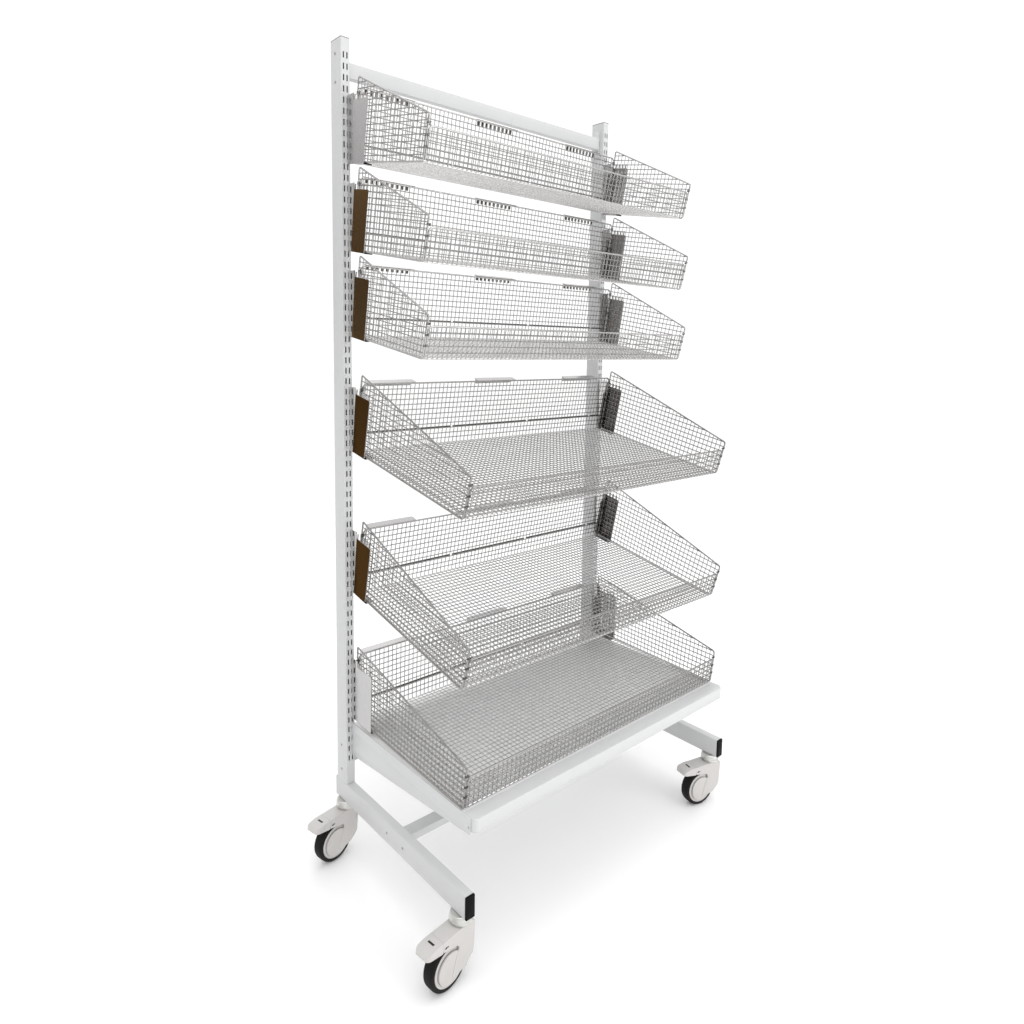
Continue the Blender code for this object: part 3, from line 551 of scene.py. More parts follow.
def slottedTubeTree():
    tree, given, result = shapeGroup("slottedTube", {
        "Width": 0.02, "Depth": 0.05, "Length": 1.0, "Wall": 0.002, "Corner": 0.002, "First slot": 0.1,
        "Slot pitch": 0.025, "Slot count": 10, "Slot width": 0.003, "Slot height": 0.014, "Slot spacing": 0.009})
    _, less, times, _ = sums(tree)
    shape = put(tree, "CurvePrimitiveQuadrilateral", {0: given["Width"], 1: given["Depth"]})
    soft = put(tree, "FilletCurve", {"Curve": shape, "Radius": given["Corner"], "Count": 4}, mode="POLY")
    spine = put(tree, "CurvePrimitiveLine", {"End": vector(tree, 0.0, 0.0, given["Length"])})
    outer = put(tree, "CurveToMesh", {"Curve": spine, "Profile Curve": soft, "Fill Caps": True})
    twoWalls = times(given["Wall"], 2.0)
    bore = put(tree, "MeshCube", {"Size": vector(
        tree, less(given["Width"], twoWalls), less(given["Depth"], twoWalls),
        times(given["Length"], 1.1))})
    middle = vector(tree, 0.0, 0.0, times(given["Length"], 0.5))
    operands = [put(tree, "Transform", {"Geometry": bore, "Translation": middle})]
    cut = put(tree, "MeshCube", {"Size": vector(
        tree, given["Slot width"], times(given["Wall"], 3.0), given["Slot height"])})
    front = times(less(given["Depth"], given["Wall"]), -0.5)
    for way in (-0.5, 0.5):
        start = vector(tree, times(given["Slot spacing"], way), front, given["First slot"])
        row = put(tree, "MeshLine", {"Count": given["Slot count"], "Start Location": start,
                                     "Offset": vector(tree, 0.0, 0.0, given["Slot pitch"])}, mode="OFFSET")
        slots = put(tree, "InstanceOnPoints", {"Points": row, "Instance": cut})
        operands.append(put(tree, "RealizeInstances", {0: slots}))
    pierced = put(tree, "MeshBoolean", {"Mesh 1": outer, "Mesh 2": operands}, operation="DIFFERENCE", solver="EXACT")
    wire(tree, dressed(tree, pierced, given["Material"], False), result[0])
    return tree


tubeTree = slottedTubeTree()
for side in sides:
    low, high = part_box(side + "_upright")
    s = uprightSet
    mesh = runTree(side + "Upright", tubeTree, {
        **s, "length": high.z - low.z, "firstSlot": s["firstSlot"] - low.z, "material": look["powderCoat"]})
    # the bore's faces take painted shade, near black for the shade inside the tube
    mesh.materials.append(look["tubeInside"])
    for polygon in mesh.polygons:  # the bore's own faces
        across, along = abs(polygon.center.x) - s["width"] / 2, abs(polygon.center.y) - s["depth"] / 2
        if max(across, along) < -0.8 * s["wall"]:
            polygon.material_index = 1
    mesh.transform(Matrix.Translation(((low.x + high.x) / 2, (low.y + high.y) / 2, low.z)))
    addPiece(side + "Upright", smooth(mesh, 30), "rack", "white_paint", side + "_upright")
print("uprights")

# feet, caps and crossbars
tubeSet = {"corner": 0.0024, "capCorner": 0.0026, "capEase": 0.0008, "barCorner": 0.0016, "barHeight": 0.036,
           "barDepth": 0.018, "flange": 0.003, "flangeCorner": 0.003, "flangeEase": 0.0006}


def addBars(title, bars, finishName, slotName, node):
    addPiece(title, barMesh(title, bars, look[finishName]), "rack", slotName, node)


for side in sides:
    footLow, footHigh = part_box(side + "_foot")
    addBars(side + "Foot", [(footLow, footHigh, 1, tubeSet["corner"])], "powderCoat", "white_paint", side + "_foot")
    for part, title, axis, finishName, slotName in (
        ("foot_front_cap", "FootFrontCap", 1, "blackCap", "black_plastic"),
        ("foot_rear_cap", "FootRearCap", 1, "paleCap", "pale_plastic"),
        ("upright_cap", "UprightCap", 2, "paleCap", "pale_plastic"),
    ):
        node = f"{side}_{part}"
        low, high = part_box(node)
        # only the head of a cap is shown, outside its tube
        if part == "foot_front_cap":
            high.y = footLow.y - clearance
        elif part == "foot_rear_cap":
            low.y = footHigh.y + clearance
        else:
            low.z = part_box(side + "_upright")[1].z + clearance
        bar = (low, high, axis, tubeSet["capCorner"], tubeSet["capEase"])
        addBars(side + title, [bar], finishName, slotName, node)
for end in ("top", "rear", "foot"):
    node = end + "_crossbar"
    low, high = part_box(node)
    middle = (low + high) / 2
    tall, deep = tubeSet["barHeight"] / 2, tubeSet["barDepth"] / 2
    half = Vector((0, tall, deep)) if end == "foot" else Vector((0, deep, tall))
    left, right = low.x + tubeSet["flange"], high.x - tubeSet["flange"]
    bars = [((left, middle.y - half.y, middle.z - half.z), (right, middle.y + half.y, middle.z + half.z), 0,
             tubeSet["barCorner"])]
    for start, stop in ((low.x, left), (right, high.x)):
        bars.append(((start, low.y, low.z), (stop, high.y, high.z), 0, tubeSet["flangeCorner"],
                     tubeSet["flangeEase"]))
    addBars(end + "Crossbar", bars, "powderCoat", "white_paint", node)
print("feet, caps and crossbars")

# base shelf and its arms
shelfSet = {"edge": 0.0009, "armEdge": 0.0005, "bed": 0.462}
shelf = bmesh.new()
shelf.from_mesh(eased("base_shelf", "baseShelf", shelfSet["edge"], look["powderCoat"]))
bedLine = rackPlace @ Vector((0, -shelfSet["bed"], 0))
bisected(shelf, bedLine, (0, 1, 0))
for face in shelf.faces:
    # the bed under the lowest basket, painted lighter against the shade that the basket's mesh casts on it
    face.material_index = int(face.normal.z > 0.9 and face.calc_center_median().y > bedLine.y)
addPiece("baseShelf", meshFrom(shelf, "baseShelf", look["powderCoat"], look["shelfBed"]), "rack", "white_paint",
         "base_shelf")
for side in sides:
    node = side + "_shelf_arm"
    addPiece(side + "ShelfArm", eased(node, side + "ShelfArm", shelfSet["armEdge"], look["powderCoat"]), "rack",
             "white_paint", node)

# screws of the crossbars: places in y and z, and the head as shares of radius and height
screwSet = {
    "radius": 0.0032, "proud": 0.0011, "sunk": -0.0002, "steps": 16, "faceX": 0.46,
    "places": ((0.027, 1.9667), (0.027, 1.9031), (0.026, 0.2856), (0.026, 0.2217), (-0.191, 0.1654),
               (-0.259, 0.1654)),
    "rings": ((1.0, 0.35), (0.86, 0.8), (0.55, 1.0), (0.48, 0.45)),
}


def screwTree():
    tree, given, result = shapeGroup("screwHeads", {"Geometry": "Geometry", "Head": "Object"})
    facing = put(tree, "InputNamedAttribute", {"Name": "facing"}, data_type="FLOAT_VECTOR")
    turned = put(tree, "AlignRotationToVector", {"Vector": facing}, axis="Z")
    head = put(tree, "ObjectInfo", {"Object": given["Head"]}, "Geometry")
    heads = put(tree, "InstanceOnPoints", {"Points": given["Geometry"], "Instance": head, "Rotation": turned})
    wire(tree, dressed(tree, heads, given["Material"], False), result[0])
    return tree


def screwHead(s):
    bm = bmesh.new()
    levels = [(s["radius"], s["sunk"])] + [(s["radius"] * wide, s["proud"] * up) for wide, up in s["rings"]]
    rings = [[bm.verts.new((x, y, z)) for x, y in circle(radius, s["steps"])] for radius, z in levels]
    for one, two in zip(rings, rings[1:]):
        for k in range(s["steps"]):
            after = (k + 1) % s["steps"]
            bm.faces.new((one[k], one[after], two[after], two[k]))
    bm.faces.new(list(reversed(rings[0])))
    bm.faces.new(rings[-1])
    return smooth(meshFrom(bm, "screwHead"), 40)


headObject = scratchObject("screwHead", screwHead(screwSet))
spots = bpy.data.meshes.new("screwSpots")
spots.from_pydata([rackPlace @ Vector((sign * screwSet["faceX"], y, z)) for sign in sides.values()
                   for y, z in screwSet["places"]], [], [])
spots.attributes.new("facing", "FLOAT_VECTOR", "POINT")
for vert, way in zip(spots.vertices, spots.attributes["facing"].data):
    way.vector = (math.copysign(1.0, vert.co.x - rackX), 0.0, 0.0)
screws = runTree("crossbarScrews", screwTree(), {"head": headObject, "material": look["zincScrew"]}, spots)
bpy.data.objects.remove(headObject)
addPiece("crossbarScrews", screws, "rack", "bracket_steel")
print("shelf, arms and screws")

# wire baskets; a stack is a number, the slot of its lower hooks, a depth and a tilt
basketSet = {
    "halfWidth": 0.4405, "setback": 0.018, "sideBack": 0.186, "sideFront": 0.093, "backHeight": 0.164,
    "frontHeight": 0.070, "lean": math.radians(4.5), "rimRadius": 0.002, "rimGap": 0.0042, "meshRadius": 0.00126,
    "fineMesh": 0.00118, "floorRadius": 0.00130, "fineRadius": 0.00090, "bend": 0.011,
    "sideBends": (0.006, 0.008, 0.008, 0.0035), "cellDepth": 0.0133, "cellsAcross": 70, "cellsBack": 12,
    "cellsFront": 5, "cellsSide": 14, "hookRise": 0.0162,
    "stacks": ((1, 59, 0.293, 9.7), (2, 51, 0.293, 9.7), (3, 43, 0.293, 9.7),
               (4, 32, 0.441, 11.5), (5, 18, 0.441, 11.5), (6, 5, 0.441, 1.9622118)),
}


def named(tree, name):
    return put(tree, "InputNamedAttribute", {"Name": name}, data_type="FLOAT")


def marked(tree, geometry, name, value):
    return put(tree, "StoreNamedAttribute", {"Geometry": geometry, "Name": name, "Value": value}, data_type="FLOAT",
               domain="INSTANCE")


def wirePanelTree():
    # straight upright and cross wires in two layers, under a top edge that may slope and a front that may lean
    tree, given, result = newGroup("wirePanel", "GeometryNodeTree", {
        "Width": 0.4, "Start": 0.1, "End": 0.1, "Lean": 0.0, "Cells across": 10, "Cells up": 5, "Wire": 0.001},
        {"Geometry": "Geometry"})
    add, less, times, over = sums(tree)
    width, start, end, radius = given["Width"], given["Start"], given["End"], given["Wire"]
    count = add(put(tree, "InputIndex"), 1.0)
    slant = calc(tree, "TANGENT", given["Lean"])
    layer = times(radius, 0.80)  # welded wires sink into each other
    fine = times(radius, 0.80)  # the upright wires are thinner
    rod = put(tree, "MeshCylinder", {"Vertices": 7, "Radius": 1.0, "Depth": 1.0}, fill_type="NONE")
    rod = put(tree, "Transform", {"Geometry": rod, "Translation": (0, 0, 0.5)})

    pitch = over(width, given["Cells across"])
    row = put(tree, "MeshLine", {
        "Count": less(given["Cells across"], 1.0),
        "Start Location": vector(tree, pitch, layer, 0.0),
        "Offset": vector(tree, pitch, 0.0, 0.0)}, mode="OFFSET")
    share = over(count, given["Cells across"])
    top = add(start, times(less(end, start), share))
    shift = times(times(share, top), slant)
    squares = add(times(top, top), times(shift, shift))
    turn = put(tree, "EulerToRotation", {0: vector(tree, 0.0, calc(tree, "ARCTAN2", shift, top), 0.0)})
    standing = put(tree, "InstanceOnPoints", {"Points": row, "Instance": rod, "Rotation": turn,
                                              "Scale": vector(tree, fine, fine, calc(tree, "SQRT", squares))})

    rise = over(start, given["Cells up"])
    column = put(tree, "MeshLine", {
        "Count": less(given["Cells up"], 1.0),
        "Start Location": vector(tree, 0.0, times(layer, -1.0), rise),
        "Offset": vector(tree, 0.0, 0.0, rise)}, mode="OFFSET")
    height = times(count, rise)
    straight = add(width, times(height, slant))
    topSpan = add(width, times(end, slant))
    fall = calc(tree, "MAXIMUM", less(start, end), 1e-6)
    under = over(less(start, height), fall)
    reach = calc(tree, "MINIMUM", straight, times(under, topSpan))
    lying = put(tree, "EulerToRotation", {0: (0, math.pi / 2, 0)})
    crossing = put(tree, "InstanceOnPoints", {"Points": column, "Instance": rod, "Rotation": lying,
                                              "Scale": vector(tree, radius, radius, reach)})
    both = put(tree, "JoinGeometry", {0: [marked(tree, standing, "standing", 1.0), crossing]})
    wire(tree, both, result[0])
    return tree


def basketTree(panelTree):
    tree, given, result = shapeGroup("wireBasket", {
        "Half width": 0.44, "Depth": 0.3, "Side back": 0.18, "Side front": 0.09, "Back height": 0.16,
        "Front height": 0.07, "Lean": 0.08, "Cells across": 70, "Cells deep": 22, "Cells back": 12, "Cells front": 5,
        "Cells side": 14, "Wire": 0.001, "Floor wire": 0.001, "Upright material": "Material",
        "Floor material": "Material"})
    times = sums(tree)[2]
    leftX = times(given["Half width"], -1.0)
    frontY = times(given["Depth"], -1.0)
    wide = (times(given["Half width"], 2.0), given["Cells across"])
    deep = (given["Depth"], given["Cells deep"])
    panels = [  # the floor comes first
        (wide, "Depth", "Depth", 0.0, "Cells deep", (leftX, 0.0, 0.0), (math.pi / 2, 0.0, 0.0)),
        (wide, "Back height", "Back height", 0.0, "Cells back", (leftX, 0.0, 0.0), (0.0, 0.0, 0.0)),
        (wide, "Front height", "Front height", 0.0, "Cells front", (leftX, frontY, 0.0), (given["Lean"], 0.0, 0.0))]
    for x in (leftX, given["Half width"]):
        panels.append((deep, "Side back", "Side front", given["Lean"], "Cells side", (x, 0.0, 0.0),
                       (0.0, 0.0, -math.pi / 2)))
    placed = []
    for i, ((span, across), start, end, lean, up, place, turn) in enumerate(panels):
        panel = put(tree, "Group", {
            "Width": span, "Start": given[start], "End": given[end], "Lean": lean, "Cells across": across,
            "Cells up": given[up], "Wire": given["Wire" if i else "Floor wire"]}, node_tree=panelTree)
        turned = put(tree, "EulerToRotation", {0: vector(tree, *turn)})
        moved = put(tree, "Transform", {"Geometry": panel, "Translation": vector(tree, *place), "Rotation": turned})
        placed.append(marked(tree, moved, "wall", float(i > 0)))
    whole = dressed(tree, put(tree, "JoinGeometry", {0: placed}), given["Material"])
    wall = named(tree, "wall")
    onFloor = put(tree, "Compare", {0: wall, 1: 0.5}, operation="LESS_THAN")
    upright = put(tree, "Compare", {0: times(wall, named(tree, "standing")), 1: 0.5},
                  operation="GREATER_THAN")
    # floor wires and upright wall wires take lighter copies of the wire: painted light
    for chosen, label in ((onFloor, "Floor material"), (upright, "Upright material")):
        whole = put(tree, "SetMaterial", {"Geometry": whole, "Selection": chosen, "Material": given[label]})
    wire(tree, whole, result[0])
    return tree


def bentWireTree():
    # wire bent along the edges of a mesh
    tree, given, result = shapeGroup("bentWire", {"Geometry": "Geometry", "Wire": 0.002, "Sides": 10})
    path = put(tree, "MeshToCurve", {0: given["Geometry"]})
    bent = put(tree, "FilletCurve", {"Curve": path, "Radius": named(tree, "bend"), "Count": 5, "Limit Radius": True},
               mode="POLY")
    section = put(tree, "CurvePrimitiveCircle", {"Resolution": given["Sides"], "Radius": given["Wire"]})
    drawn = put(tree, "CurveToMesh", {"Curve": bent, "Profile Curve": section, "Fill Caps": True})
    wire(tree, dressed(tree, drawn, given["Material"]), result[0])
    return tree


meshTree = basketTree(wirePanelTree())
wireTree = bentWireTree()


def pathMesh(name, loops):
    # each loop: its points, whether it closes, and the bend radius at each point
    verts, edges, bends = [], [], []
    for points, closed, radii in loops:
        start = len(verts)
        verts += [Vector(point) for point in points]
        bends += radii if isinstance(radii, tuple) else [radii] * len(points)
        edges += [(start + i, start + i + 1) for i in range(len(points) - 1)]
        if closed:
            edges.append((start + len(points) - 1, start))
    mesh = bpy.data.meshes.new(name)
    mesh.from_pydata(verts, edges, [])
    mesh.attributes.new("bend", "FLOAT", "POINT").data.foreach_set("value", bends)
    return mesh


def basketFloor(slot):
    return uprightSet["firstSlot"] + slot * uprightSet["slotPitch"] - basketSet["hookRise"]


def basketPlace(slot, tilt):
    seat = rackPlace @ Matrix.Translation((0, -basketSet["setback"], basketFloor(slot)))
    return seat @ Matrix.Rotation(math.radians(tilt), 4, "X")


def rimLoops(depth):
    s = basketSet
    half, slant, bend, up = s["halfWidth"], math.tan(s["lean"]), s["bend"], s["rimGap"]
    inner = half - up
    loops = []
    for x in (-half, half):
        loops.append(([(x, 0, 0), (x, -depth, 0), (x, -depth - s["sideFront"] * slant, s["sideFront"]),
                       (x, 0, s["sideBack"])], True, s["sideBends"]))
    for y, lean, top in ((0, 0, s["backHeight"]), (-depth, slant, s["frontHeight"])):
        loops.append(([(-inner, y - up * lean, up), (-inner, y - top * lean, top), (inner, y - top * lean, top),
                       (inner, y - up * lean, up)], False, bend))
    floorRim = [(-inner, -up, 0), (inner, -up, 0), (inner, up - depth, 0), (-inner, up - depth, 0)]
    return loops, [(floorRim, True, bend)]


# spiral ties that hold the panels together at the corners, and the divider rail on the back
tieSet = {"wire": 0.0008, "pitch": 0.0026, "steps": 10, "front": ((0.075, 2), (0.051, 2), (0.028, 2)),
          "back": ((0.15, 3), (0.09, 3), (0.03, 3))}
railSet = {"height": 0.042, "wire": 0.0023, "behind": 0.0045,
           "runs": ((-0.422, -0.163), (-0.153, 0.108), (0.118, 0.371), (0.381, 0.422))}


def tieLoops(depth):
    s, t = basketSet, tieSet
    slant = math.tan(s["lean"])
    around = s["rimRadius"] + t["wire"]
    across = s["rimGap"] / 2 + around
    loops = []
    for sign in (-1, 1):
        for y, lean, spirals in ((-depth, slant, t["front"]), (0, 0, t["back"])):
            for height, turns in spirals:
                path = []
                for step in range(turns * t["steps"] + 1):
                    angle = 2 * math.pi * step / t["steps"]
                    x = sign * (s["halfWidth"] - s["rimGap"] / 2) + across * math.cos(angle)
                    z = height + (step / t["steps"] - turns / 2) * t["pitch"]
                    path.append((x, y - z * lean + around * math.sin(angle), z))
                loops.append((path, False, 0.0))
    return loops


def railLoops():
    y, z = railSet["behind"], railSet["height"]
    return [([(start, y, z), (stop, y, z)], False, 0.0) for start, stop in railSet["runs"]]


# folded strips behind the back rim: a pale top that rises to the rear, and a plain or toothed leg under it, whose
# upright faces are painted shade, near black and toothed into dark dashes on the upper baskets, grey on the lower
# ones
stripSet = {"length": 0.136, "pitch": 0.330, "shift": 0.026, "sheet": 0.0012, "over": 0.0030, "rise": 0.0026,
            "front": -0.0008, "rear": 0.0170, "leg": 0.0125, "corner": 0.006, "frontCorner": 0.0005,
            "legCorner": 0.002, "teeth": 9, "toothShare": 0.54}


def stripMesh(name, shade, teeth):
    s = stripSet
    top = basketSet["backHeight"] + s["over"]
    foot, head = top - s["leg"], top + s["rise"] - s["sheet"] / 2
    pitch = (s["length"] - 2 * s["corner"]) / teeth
    wide = pitch * s["toothShare"] if teeth > 1 else pitch
    bm = bmesh.new()
    for i in (-1, 0, 1):
        left = i * s["pitch"] - s["shift"] - s["length"] / 2
        right = left + s["length"]
        plan = filleted([(left, s["front"]), (right, s["front"]), (right, s["rear"]), (left, s["rear"])],
                        [s["frontCorner"], s["frontCorner"], s["corner"], s["corner"]])
        slabInto(bm, plan, -s["sheet"], 0.0, lambda p, h: (p[0], p[1], top + s["rise"] * p[1] / s["rear"] + h))
        for tooth in range(teeth):
            near = left + s["corner"] + tooth * pitch + (pitch - wide) / 2
            leg = filleted([(near, foot), (near + wide, foot), (near + wide, head), (near, head)],
                           [s["legCorner"], s["legCorner"], 0, 0], 3)
            slabInto(bm, leg, s["rear"] - s["sheet"], s["rear"], lambda p, h: (p[0], h, p[1]))
    bmesh.ops.recalc_face_normals(bm, faces=bm.faces)
    # upward and downward faces take pale steel, upright faces the painted shade
    for face in bm.faces:
        face.material_index = 0 if abs(face.normal.z) > 0.5 else 1
    return smooth(meshFrom(bm, name, look["paleSteel"], shade))


for number, slot, depth, tilt in basketSet["stacks"]:
    s = basketSet
    place = basketPlace(slot, tilt)
    shallow = number < 4
    # upright wires and floors lighter than the cross wires: painted light, lightest on the floors of the upper
    # baskets
    mesh = runTree(f"basketMesh{number}", meshTree, {
        **s, "depth": depth, "cellsDeep": round(depth / s["cellDepth"]),
        "wire": s["fineMesh" if shallow else "meshRadius"],
        "floorWire": s["floorRadius" if number in (4, 5) else "fineRadius"], "material": look["wallWire"],
        "uprightMaterial": look["brightWire"], "floorMaterial": look["shelfWire" if shallow else "brightWire"]})
    mesh.transform(place)
    addPiece(f"basketMesh{number}", mesh, "rack", "basket_wire", f"basket_{number}")
    rims, floorRim = rimLoops(depth)
    # rims of the upper baskets and all floor rims in lighter copies: painted light
    for title, loops, radius, count, shade in (
        ("Rims", rims, s["rimRadius"], 10, "paleRim" if shallow else "rimWire"),
        ("FloorRim", floorRim, s["rimRadius"], 10, "shelfWire"),
        ("Ties", tieLoops(depth), tieSet["wire"], 6, "tieWire"),
        ("Rail", railLoops(), railSet["wire"], 8, "darkWire"),
    ):
        mesh = runTree(f"basket{title}{number}", wireTree, {"wire": radius, "sides": count, "material": look[shade]},
                       pathMesh(title, loops))
        mesh.transform(place)
        addPiece(f"basket{title}{number}", mesh, "rack", "basket_wire")
    # painted shade on the legs: near black on the upper baskets, grey steel on the lower
    strips = stripMesh(f"basketStrips{number}", look["darkWire" if shallow else "greySteel"],
                       stripSet["teeth"] if shallow else 1)
    strips.transform(place)
    addPiece(f"basketStrips{number}", strips, "rack", "bracket_steel")
print("baskets")

# brackets: a bright hook strip, a plate ahead of it with prongs on top, a ledge under the basket and a back flange;
# plates and prongs are one polished steel, their tones painted reflections
bracketSet = {
    "columnX": 0.444, "plate": 0.002, "stripFoot": 0.014, "stripTop": 0.030, "width": 0.068, "height": 0.137,
    "tab": 0.015, "corner": 0.005, "footCorner": 0.002, "edge": 0.0003, "base": -0.00455, "ledge": 0.0015,
    "ledgeWidth": 0.020, "flangeCorner": 0.0005, "backHeight": 0.120, "prongs": 5, "prongWidth": 0.003,
    "prongHeight": 0.012, "prongPitch": 0.0132, "prongInset": 0.009, "prongCorner": 0.0013, "sunk": 0.0005,
    "hookSlots": 4, "hookNeck": 0.007, "hookDrop": 0.005, "hookLip": 0.003, "hookInside": 0.0023,
    "pad": 0.006, "padBehind": 0.001, "padCorner": 0.0008, "padEase": 0.0005,
    # painted reflections: each plate's tone stands for what its polished steel reflects, brown on the left, grey and
    # dark on the right, and the prongs grey on the left, dark on the right
    "finish": {"left": ("paleSteel", "brownSteel", "brownSteel", "deepBrownSteel", "deepBrownSteel", "paleSteel"),
               "right": ("mirrorSteel", "greySteel", "greySteel", "darkSteel", "darkSteel", "mirrorSteel")},
    "prongFinish": {"left": "greySteel", "right": "darkSteel"},
}


def plateSlab(name, path, sign, face, edge):
    # an upright sheet on the hook column, with its cut edges in their own finish, lighter as a painted highlight
    s = bracketSet
    mesh = slabMesh(name, path, s["columnX"] - s["plate"] / 2, s["columnX"] + s["plate"] / 2,
                    lambda p, x: rackPlace @ Vector((sign * x, p[0], p[1])), face, edge)
    for polygon in mesh.polygons:
        polygon.material_index = 0 if abs(polygon.normal.x) > 0.5 else 1
    piece = scratchObject(name, mesh)
    bevelled(piece, s["edge"], 1, 60)
    return smooth(bakeMesh(piece, name))


def bracketMesh(name, side, sign, number, slot, tilt):
    s, back = bracketSet, basketSet["setback"]
    floorZ, lean = basketFloor(slot), math.radians(tilt)
    face, pale = look[s["finish"][side][number - 1]], look["paleSteel"]

    def spot(ahead, up):
        return (-back - ahead * math.cos(lean) - up * math.sin(lean),
                floorZ - ahead * math.sin(lean) + up * math.cos(lean))

    def aheadAt(y, up):
        return (y - back - up * math.sin(lean)) / math.cos(lean)

    stripAhead = aheadAt(s["stripTop"], s["height"])
    front = stripAhead + s["width"]
    foot = spot(aheadAt(s["stripFoot"], s["base"]), s["base"])
    shoulder = spot(stripAhead, s["height"])
    tabZ = shoulder[1] + s["tab"]
    strip = [spot(aheadAt(clearance, s["base"]), s["base"]), foot, shoulder, (-s["stripTop"], tabZ),
             (-clearance, tabZ)]
    inside = s["hookInside"]
    for hook in (slot + s["hookSlots"], slot):
        sill = uprightSet["firstSlot"] + hook * uprightSet["slotPitch"] - uprightSet["slotHeight"] / 2
        seat, low = sill + clearance, sill - s["hookDrop"]
        neck = seat + s["hookNeck"]
        strip += [(-clearance, neck), (inside + s["hookLip"], neck), (inside + s["hookLip"], low), (inside, low),
                  (inside, seat), (-clearance, seat)]
    plate = filleted([foot, spot(front, s["base"]), spot(front, s["height"]), shoulder],
                     [0, s["footCorner"], s["corner"], 0], 5)
    parts = [plateSlab("strip", strip, sign, pale if number == 1 else look["mirrorSteel"], pale),
             plateSlab("plate", plate, sign, face, pale)]
    tone = look[s["prongFinish"][side]]
    top, low = s["height"] + s["prongHeight"], s["height"] - s["sunk"]
    for i in range(s["prongs"]):
        near = front - s["prongInset"] - i * s["prongPitch"]
        far = near - s["prongWidth"]
        prong = filleted([spot(far, low), spot(near, low), spot(near, top), spot(far, top)],
                         [0, 0, s["prongCorner"], s["prongCorner"]], 3)
        parts.append(plateSlab("prong", prong, sign, tone, tone))
    low, high = sorted((sign * s["columnX"], sign * (s["columnX"] - s["ledgeWidth"])))
    ledgeTop, backFoot = s["base"] + 1.5 * s["ledge"], s["base"] + s["ledge"]
    behind = basketSet["rimRadius"] + clearance
    flanges = bmesh.new()
    barInto(flanges, (low, -front + s["ledge"], ledgeTop - s["ledge"]), (high, -s["ledge"], ledgeTop), 1,
            s["flangeCorner"])
    barInto(flanges, (low, behind, backFoot), (high, behind + s["ledge"], backFoot + s["backHeight"]), 2,
            s["flangeCorner"])
    pads = bmesh.new()
    barInto(pads, (low, -front - s["pad"] / 2, s["base"] - s["sunk"]), (high, -front + s["padBehind"], ledgeTop), 0,
            s["padCorner"], s["padEase"])
    place = basketPlace(slot, tilt)
    tilted = [smooth(meshFrom(flanges, "flanges", look["greySteel"])),
              smooth(meshFrom(pads, "pad", look["blackCap"]))]
    return joined(name, [(mesh, Matrix()) for mesh in parts] + [(mesh, place) for mesh in tilted])


for number, slot, depth, tilt in basketSet["stacks"]:
    for side, sign in sides.items():
        title = f"bracket{side.title()}{number}"
        addPiece(title, bracketMesh(title, side, sign, number, slot, tilt), "rack", "bracket_steel",
                 f"basket_{number}_{side}_bracket")
print("brackets")

# casters, drawn with the stem at zero and the wheel towards -x; faces of wheel and collar are (radius, along)
casterSet = {
    "trail": 0.043, "axleZ": 0.04957, "top": 0.119, "hoodHalf": 0.020, "hoodRear": -0.06475, "overlap": 0.012,
    "skirt": 0.090, "skirtRise": 0.0080, "skirtRun": 1.3, "nose": 0.0235, "legFront": 0.0185,
    "legFoot": (-0.003, 0.031), "legRear": (-0.0275, -0.0215), "legDrop": 0.007, "round": 0.0034,
    "hoodCorners": (0.007, 0.001, 0.001, 0.004, 0.006, 0.001, 0.006, 0.012, 0.02),
    "bossHalf": 0.019, "bossRadius": 0.033, "bossRound": 0.0012, "wellRadius": 0.0512, "wellHalf": 0.0152,
    "archRadius": 0.0565, "seam": 0.0004, "relief": 0.0022, "hingeX": 0.062, "hingeZ": 0.106, "knuckle": 0.0055,
    "knuckleHalf": 0.011, "pedalTip": 0.111, "pedalFlat": 0.004, "pedalEdge": 0.004, "pedalDrops": (0.015, 0.011),
    "pedalSlope": ((-0.102, 0.0037), (-0.082, 0.0)), "pedalCorner": 0.014, "pedalRound": 0.003,
    "pedalCorners": (0.001, 0.001, 0.002, 0.002, 0.003, 0.02, 0.03), "blank": (0.03, 0.05, 0.15),
    "hubFace": ((0.0053, 0.0118), (0.0290, 0.0118), (0.0310, 0.0126), (0.0321, 0.0137), (0.0331, 0.014),
                (0.0384, 0.014), (0.0396, 0.0137), (0.0402, 0.0129)),
    "tyreFace": ((0.0405, 0.0130), (0.0412, 0.0139), (0.0440, 0.0140), (0.0468, 0.0133), (0.0485, 0.0116),
                 (0.0493, 0.0090), (0.0495, 0.0050), (0.0496, 0.0)),
    "collarTop": 0.1397, "stemTop": 0.1537, "stemFoot": 0.098,
    "collarFace": ((0.0081, 0.0), (0.0226, 0.0), (0.0234, 0.0007), (0.0246, 0.0050), (0.0250, 0.0078),
                   (0.0249, 0.0086), (0.0241, 0.0090), (0.0241, 0.0098), (0.0247, 0.0102), (0.0245, 0.0130),
                   (0.0234, 0.0172)),
    "collarRim": (0.0222, 0.0008), "collarTopRadius": 0.0214, "stemRadius": 0.0061, "bore": 0.0002, "tail": 0.0078,
    "inkSunk": 0.0006, "inkProud": 0.00015, "markAt": -0.081, "markHalf": 0.0084, "markWide": 0.0023,
    "markCorner": 0.0006, "arrowAt": (-0.0572, 0.1052), "arrowSize": 1.15,
    "arrow": ((-0.0055, 0), (0.0005, 0.0026), (-0.0005, 0.0008), (0.0045, 0.0012), (0.0045, -0.0012),
              (-0.0005, -0.0008), (0.0005, -0.0026)),
}


def alongY(point, level):
    return (point[0], level, point[1])


def alongZ(point, level):
    return (point[0], point[1], level)


def drum(name, radius, half, x, z, steps):
    path = [(x + u, z + v) for u, v in circle(radius, steps)]
    return slabMesh(name, path, -half, half, alongY, look["casterShell"])


